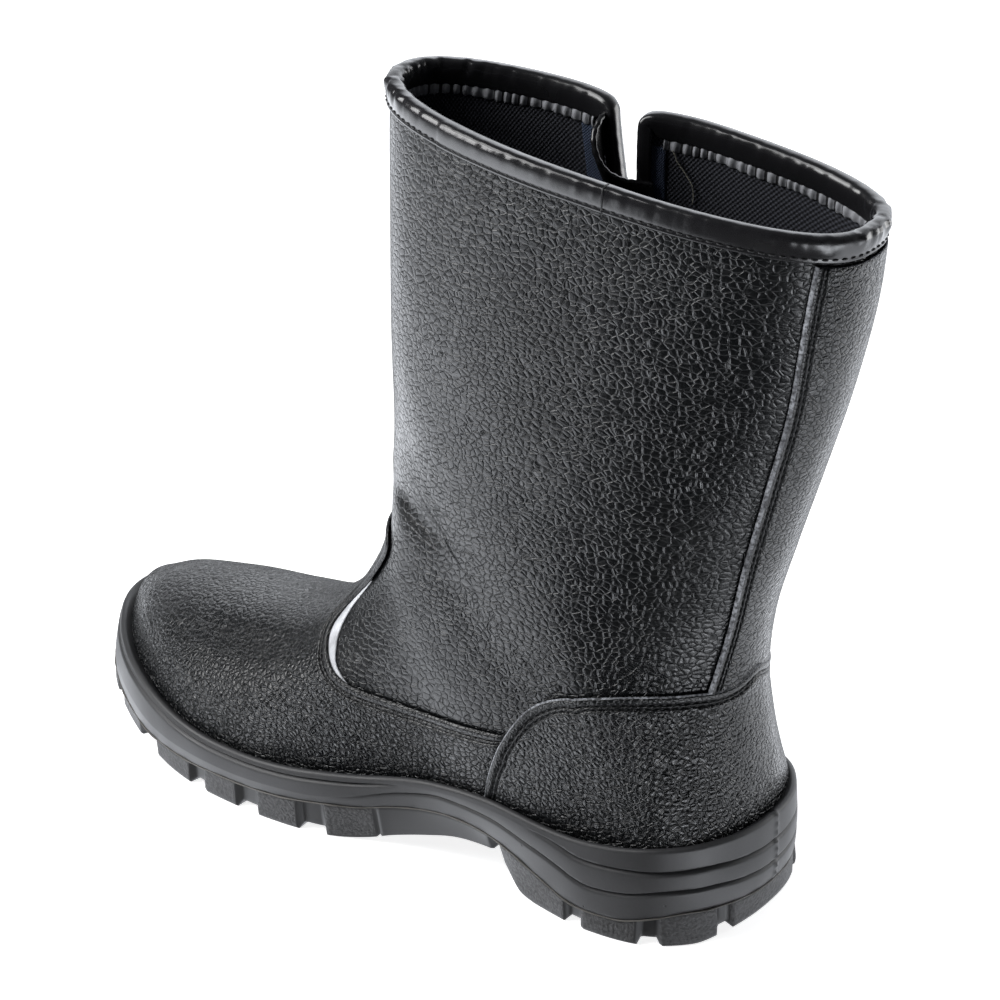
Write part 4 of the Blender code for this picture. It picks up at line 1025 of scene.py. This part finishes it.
def moulded_foam(name, colour, roughness, stipple):
    """Moulded polyurethane: matt skin with faint flow marks, tiny pinholes and an optional spark-eroded stipple."""
    material, tree, place = new_finish(name)
    flow, grit = noise(place, 35.0, 4.0), noise(place, 1500.0 - 650.0 * stipple, 2.0)
    hole = eased(node(tree, "TexVoronoi", place, Scale=130.0)["Distance"], 0.03, 0.07, 0.0, 1.0)
    tone = maths("MULTIPLY", ranged(flow, 0.3, 0.7, 0.6, 1.0), hole)
    tone = maths("MULTIPLY", tone, ranged(grit, 0.36, 0.62, 1.0 - stipple, 1.0))
    height = maths("ADD", maths("MULTIPLY", grit, stipple), hole)
    gloss = ranged(flow, 0.3, 0.7, roughness - 0.06, roughness + 0.08)
    return finished(material, mixed(tone, darker(colour, 0.4), colour), height, 0.2 + 0.35 * stipple,
                    0.5 + 0.5 * stipple, gloss)


outline_knots = np.concatenate([OUTLINE[:, :2], OUTLINE[-2:0:-1][:, [0, 2]] * (1.0, -1.0)])
sole_line = fine_line(outline_knots, 24, closed=True)
sole_line[:, 1] += along(MIDDLE_X, MIDDLE_Y, sole_line[:, 0])
sole_line = np.concatenate([sole_line, sole_line[:1]])
sole_line = evenly(sole_line, run_of(sole_line), 1.05)[:-1]
ahead = np.roll(sole_line, -2, 0) - np.roll(sole_line, 2, 0)
sole_out = evened(unit(np.column_stack([-ahead[:, 1], ahead[:, 0]])), 2, 8)
sole_x = sole_line[:, 0]
closed_run = run_of(np.concatenate([sole_line, sole_line[:1]]))
from_heel = np.minimum(closed_run[:-1], closed_run[-1] - closed_run[:-1])
side_run = np.arange(len(sole_line)) * 2 * np.pi * 26 / len(sole_line)
parting, lip, flare, foot, tread, bed = (
    along(SOLE_X, table, sole_x) for table in (PARTING_Z, LIP_Z, FLARE, FOOT, TREAD_Z, BED_Z))
lower, lower_depth, upper, upper_depth = (
    along(GROOVE_X, table, sole_x) for table in (LOWER_Z, LOWER_DEPTH, UPPER_Z, UPPER_DEPTH))
lip_centre = lip - LIP_ROUND


def sole_ring(offset, height):
    """Closed ring round the sole, an offset out from its outline."""
    offset, height = (np.broadcast_to(v, len(sole_line))[:, None] for v in (offset, height))
    return np.column_stack([sole_line + sole_out * offset, height])


def ring_stack(rings):
    """Points and faces through closed rings, with ladder-like caps on both ends."""
    grid = np.array(rings)
    rows, count = grid.shape[:2]
    faces = grid_faces(rows, count, flip=True, closed=True)
    half = count // 2
    for base, way in ((0, 1), ((rows - 1) * count, -1)):
        cap = [(base, base + 1, base + count - 1), (base + half - 1, base + half, base + half + 1)]
        cap += [(base + c, base + c + 1, base + count - c - 1, base + count - c) for c in range(1, half - 1)]
        faces += [face[::way] for face in cap]
    return grid.reshape(-1, 3), faces


def share_of(height, low, high):
    return np.clip((height - low) / (high - low), 0.0, 1.0)


def pillow(height, low, high):
    """0 at both edges of a band round the side and 1 in its middle."""
    share = share_of(height, low, high)
    return 4 * share * (1 - share)


def groove_cut(rise):
    """Share of a groove's depth at a rise over its line: a soft shoulder below, a sharp overhang above."""
    return np.where(rise < 0.0, np.exp(-(np.minimum(rise, 0.0) / 0.9) ** 2), 1 - smooth_step(0.10, 0.35, rise))


def side_offset(height):
    """How far the midsole's side stands out from the outline at a height on each place."""
    low_out, high_out, top_out = 0.6 * flare + 1.75, 0.3 * flare + 1.6, 0.2 * flare + 1.2
    offset = flare + 0.6 + (low_out - flare - 0.6) * share_of(height, parting, lower)
    offset = offset + (high_out - low_out) * share_of(height, lower, upper)
    offset = offset + (top_out - high_out) * share_of(height, upper, lip_centre)
    split = lower_depth / 1.6
    offset = offset + 0.2 * split * (pillow(height, parting, lower) + pillow(height, lower, upper))
    offset = offset + 0.2 * (1 - split) * pillow(height, parting, upper)
    mould_seam = (0.45 + 0.3 * np.sin(1.9 * height)) * np.exp(-(from_heel / 0.8) ** 2)
    unevenness = 0.10 * np.sin(side_run / 13.0 + height / 5.0) + 0.07 * np.sin(side_run / 5.3 - height / 3.1 + 1.0)
    grooves = lower_depth * groove_cut(height - lower) + upper_depth * groove_cut(height - upper)
    return offset + mould_seam + unevenness - grooves


foam_floor = parting + 0.35
levels = foam_floor + (lip_centre - foam_floor) * np.linspace(0.0, 1.0, 26)[:, None]
levels = np.clip(np.concatenate([levels, lower + NEAR_GROOVE, upper + NEAR_GROOVE]), foam_floor, lip_centre)
side_rings = [sole_ring(flare - 3.0, parting + 0.3), sole_ring(flare + 0.4, parting + 0.3)]
side_rings += [sole_ring(side_offset(height), height) for height in np.sort(levels, axis=0)]
for angle in np.radians([15, 35, 55, 75, 95, 115, 140]):
    side_rings.append(sole_ring(side_offset(lip_centre) - LIP_ROUND * (1 - math.cos(angle)),
                                lip_centre + LIP_ROUND * math.sin(angle)))
side_rings += [sole_ring(-3.6, lip - 2.5), sole_ring(-6.0, bed - 0.5)]
midsole_foam = moulded_foam("midsole_foam", (0.042, 0.0425, 0.0455), roughness=0.50, stipple=0.16)
midsole = make_piece("midsole_side", *ring_stack(side_rings), [midsole_foam], weld=False)
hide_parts("midsole")
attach(midsole, "root")


# Outsole
# Harder polyurethane tread moulded in one with the foam above it.
# It has heel blocks, forefoot lugs with stippled faces, and a bridged arch with small ribs.

RECESS = 2.2
LUG_PROUD = 2.2
LUG_REACH = 17.0
HEEL_BLOCKS = [(-9, 22), (27.5, 48.5), (55, 77), (83, 114)]      # run from the back; the first goes round it
FOREFOOT_LUGS = [(142, 162.5), (172.5, 192), (201, 218.5), (225.5, 247), (259, 275.5), (282, 300)]
ARCH = (93.0, 142.0)
# Bars across the tread: middle, width and half length; and ribs under the arch
BARS = [(40, 12, 17), (64, 12, 20), (160, 12, 20), (184, 12, 23), (208, 12, 24), (234, 12, 22), (260, 12, 15)]
RIBS = [(x, 3, 30) for x in (104, 112, 120, 128)]
RIB_PROUD = 1.4
BLOCK_FACES = ((2, 3, 1, 0), (5, 7, 6, 4), (1, 5, 4, 0), (6, 7, 3, 2), (4, 6, 2, 0), (3, 7, 5, 1))


def raised(place, start, end, slant=0.0, flank=0.6):
    """1 between two places and 0 outside them, with the flanks moved in by a slant."""
    return (smooth_step(start - flank + slant, start + flank + slant, place)
            * smooth_step(end + flank - slant, end - flank - slant, place))


def lug_share(slant):
    """1 on a lug and 0 in the gaps between them."""
    return np.max([raised(from_heel, *block, slant) * (sole_x < 100) for block in HEEL_BLOCKS]
                  + [raised(sole_x, *lug, slant) for lug in FOREFOOT_LUGS], axis=0)


arch = raised(sole_x, *ARCH, flank=1.0)
lug = np.maximum(lug_share(0.0), arch)
low = tread + RECESS * (1 - lug)
lug_foot = foot - LUG_PROUD * (1 - lug)
lug_top = flare - LUG_PROUD * (1 - lug) + 0.6
under_flash = parting - 0.7
foot_top = np.minimum(low + 1.2, under_flash - 0.8)
tread_rings = [sole_ring(-LUG_REACH - 1.5, tread + RECESS * (1 - arch)), sole_ring(-LUG_REACH, low)]
tread_rings += [sole_ring(lug_foot - inward, low + rise) for inward, rise in ((4.0, 0.0), (0.8, 0.0), (0.25, 0.35))]
face_start = len(tread_rings)
tread_rings += [sole_ring(lug_foot * (1 - t) + lug_top * t, foot_top + (under_flash - foot_top) * t)
                for t in np.linspace(0.0, 1.0, 12)]
face_end = len(tread_rings) - 1
flash_wave = 0.5 + 0.25 * np.sin(side_run * 1.1) + 0.2 * np.sin(side_run * 2.7 + 1.0)
for offset, wave, rise in ((0.5, 0.0, 0.15), (0.65, 0.5, 0.35), (0.7, 0.6, 0.6), (0.5, 0.0, 0.8)):
    tread_rings.append(sole_ring(flare + offset + wave * flash_wave, under_flash + rise))
tread_rings.append(sole_ring(flare - 3.0, parting))
tread_points, tread_faces = ring_stack(tread_rings)
tread_finish = np.zeros((len(tread_rings) - 1, len(sole_line)), int)
tread_finish[face_start:face_end] = lug_share(0.8) > 0.5
tread_finish[face_end + 1:-1] = 2
for (x, width, half_length), drop in [(bar, 0.0) for bar in BARS] + [(rib, RIB_PROUD) for rib in RIBS]:
    middle = float(along(MIDDLE_X, MIDDLE_Y, x))
    corners = [(px, y, z) for y in (middle - half_length, middle + half_length)
               for px in (x - width / 2, x + width / 2)
               for z in (along(SOLE_X, TREAD_Z, px) - drop, along(SOLE_X, PARTING_Z, px) - 1.5)]
    tread_faces += [tuple(len(tread_points) + v for v in face) for face in BLOCK_FACES]
    tread_points = np.concatenate([tread_points, corners])
tread_finish = np.append(tread_finish, np.zeros(len(tread_faces) - tread_finish.size, int))
tread_rubber = moulded_foam("tread_rubber", (0.032, 0.0322, 0.034), roughness=0.5, stipple=0.1)
lug_rubber = moulded_foam("lug_rubber", (0.070, 0.0703, 0.074), roughness=0.6, stipple=0.9)
mould_flash = moulded_foam("mould_flash", (0.11, 0.104, 0.095), roughness=0.5, stipple=0.1)
outsole = make_piece("outsole_tread", tread_points, tread_faces, [tread_rubber, lug_rubber, mould_flash],
                     tread_finish, weld=False)
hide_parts("outsole")
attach(outsole, "root")


# Floor, light and camera
# A white seamless sheet lit from below, a studio that is bright below the horizon and dark above it,
# three soft boxes, and the camera above the heel.

floor_sheet, _, place = new_finish("floor_sheet")
for key, value in (("Base Color", mixed(noise(place, 3.0, 2.0), (0.90,) * 3, (0.92,) * 3)), ("Roughness", 0.9),
                   ("Specular IOR Level", 0.1), ("Emission Color", (1.0,) * 4), ("Emission Strength", 0.82)):
    fill(floor_sheet.node_tree.nodes["Principled BSDF"].inputs[key], value)
floor_mesh = bpy.data.meshes.new("floor")
floor_mesh.from_pydata([(-4, -4, 0), (4, -4, 0), (4, 4, 0), (-4, 4, 0)], [], [(0, 1, 2, 3)])
floor_mesh.materials.append(floor_sheet)
floor = bpy.data.objects.new("floor", floor_mesh)
bpy.context.scene.collection.objects.link(floor)
floor.visible_glossy = False

studio = bpy.data.worlds.new("studio")
bpy.context.scene.world = studio
studio.use_nodes = True
sky = studio.node_tree
looking = node(sky, "TexCoord")["Generated"]
level = node(sky, "SeparateXYZ", looking)["Z"]


def facing(*direction):
    """How far a look into the studio goes along a direction, -1 to 1."""
    return node(sky, "VectorMath", looking, direction, operation="DOT_PRODUCT")["Value"]


sheet = node(sky, "ValToRGB", ranged(facing(0.44, -0.827, 0.35), -1.0, 1.0, 0.0, 1.0))[0]
stops = sheet.node.color_ramp.elements
for place, glow in ((0.12, 0.0), (0.16, 0.07), (0.21, 0.64), (0.26, 1.0), (0.36, 1.0), (0.55, 0.75)):
    stops.new(place).color = (glow, glow, glow, 1.0)
stops.remove(stops[0])
back_sheet = eased(facing(-0.95, 0.31, 0.0), 0.70, 0.90, 0.0, 2.6)
behind_heel = eased(facing(-0.75, -0.66, 0.0), 0.25, 0.75, 1.0, 0.55)
straight_down = eased(level, -0.95, -0.72, 0.28, 1.0)
lower_half = maths("MULTIPLY", maths("MAXIMUM", sheet, back_sheet), maths("MULTIPLY", behind_heel, straight_down))
far_wall = maths("MULTIPLY", eased(level, -0.25, 0.30, 0.45, 1.0), eased(level, 0.45, 0.78, 1.0, 0.0))
far_wall = maths("MULTIPLY", far_wall, eased(facing(0.2, -0.98, 0.0), 0.58, 0.90, 0.0, 0.56))
near_wall = eased(facing(0.64, -0.77, 0.0), -0.7, 0.2, 0.006, 0.03)
glow = mixed(eased(level, -0.45, -0.08, 0.0, 1.0), lower_half, maths("ADD", far_wall, near_wall))
straight_behind = eased(facing(0.5, -0.744, -0.4425), 0.90, 0.97, 1.0, 0.06)
for tint in ((0.955, 0.985, 1.04), straight_behind):
    glow = node(sky, "VectorMath", glow, tint, operation="MULTIPLY")[0]
fill(sky.nodes["Background"].inputs["Color"], glow)
sky.nodes["Background"].inputs["Strength"].default_value = 3.9


def stand(name, data, place, target):
    """Puts a light or a camera at a place in the studio, looking at a target."""
    obj = bpy.data.objects.new(name, data)
    bpy.context.scene.collection.objects.link(obj)
    obj.location = place
    x, y, z = np.subtract(target, place)
    obj.rotation_euler = (math.atan2(math.hypot(x, y), -z), 0.0, math.atan2(-x, y))
    return obj


for name, place, target, size, power in (
        ("side_box", (1.0, 0.75, 0.75), (0.0, 0.0, 0.15), (0.7, 0.7), 13.0),
        ("top_box", (0.60, 0.50, 1.13), (0.0, 0.0, 0.27), (0.7, 0.7), 8.0),
        ("heel_box", (-0.75, -0.95, 0.25), (0.0, 0.0, 0.12), (0.5, 0.8), 5.0)):
    soft_box = bpy.data.lights.new(name, "AREA")
    soft_box.shape = "RECTANGLE"
    soft_box.size, soft_box.size_y = size
    soft_box.energy = power
    stand(name, soft_box, place, target)

lens = bpy.data.cameras.new("photo_camera")
lens.lens = 123.14
lens.sensor_width = 36.0
camera = stand("photo_camera", lens, (-0.63007, 0.90346, 0.66490), (-0.02462, 0.00316, 0.12944))
bpy.context.scene.camera = camera
bpy.context.scene.view_settings.view_transform = "Standard"
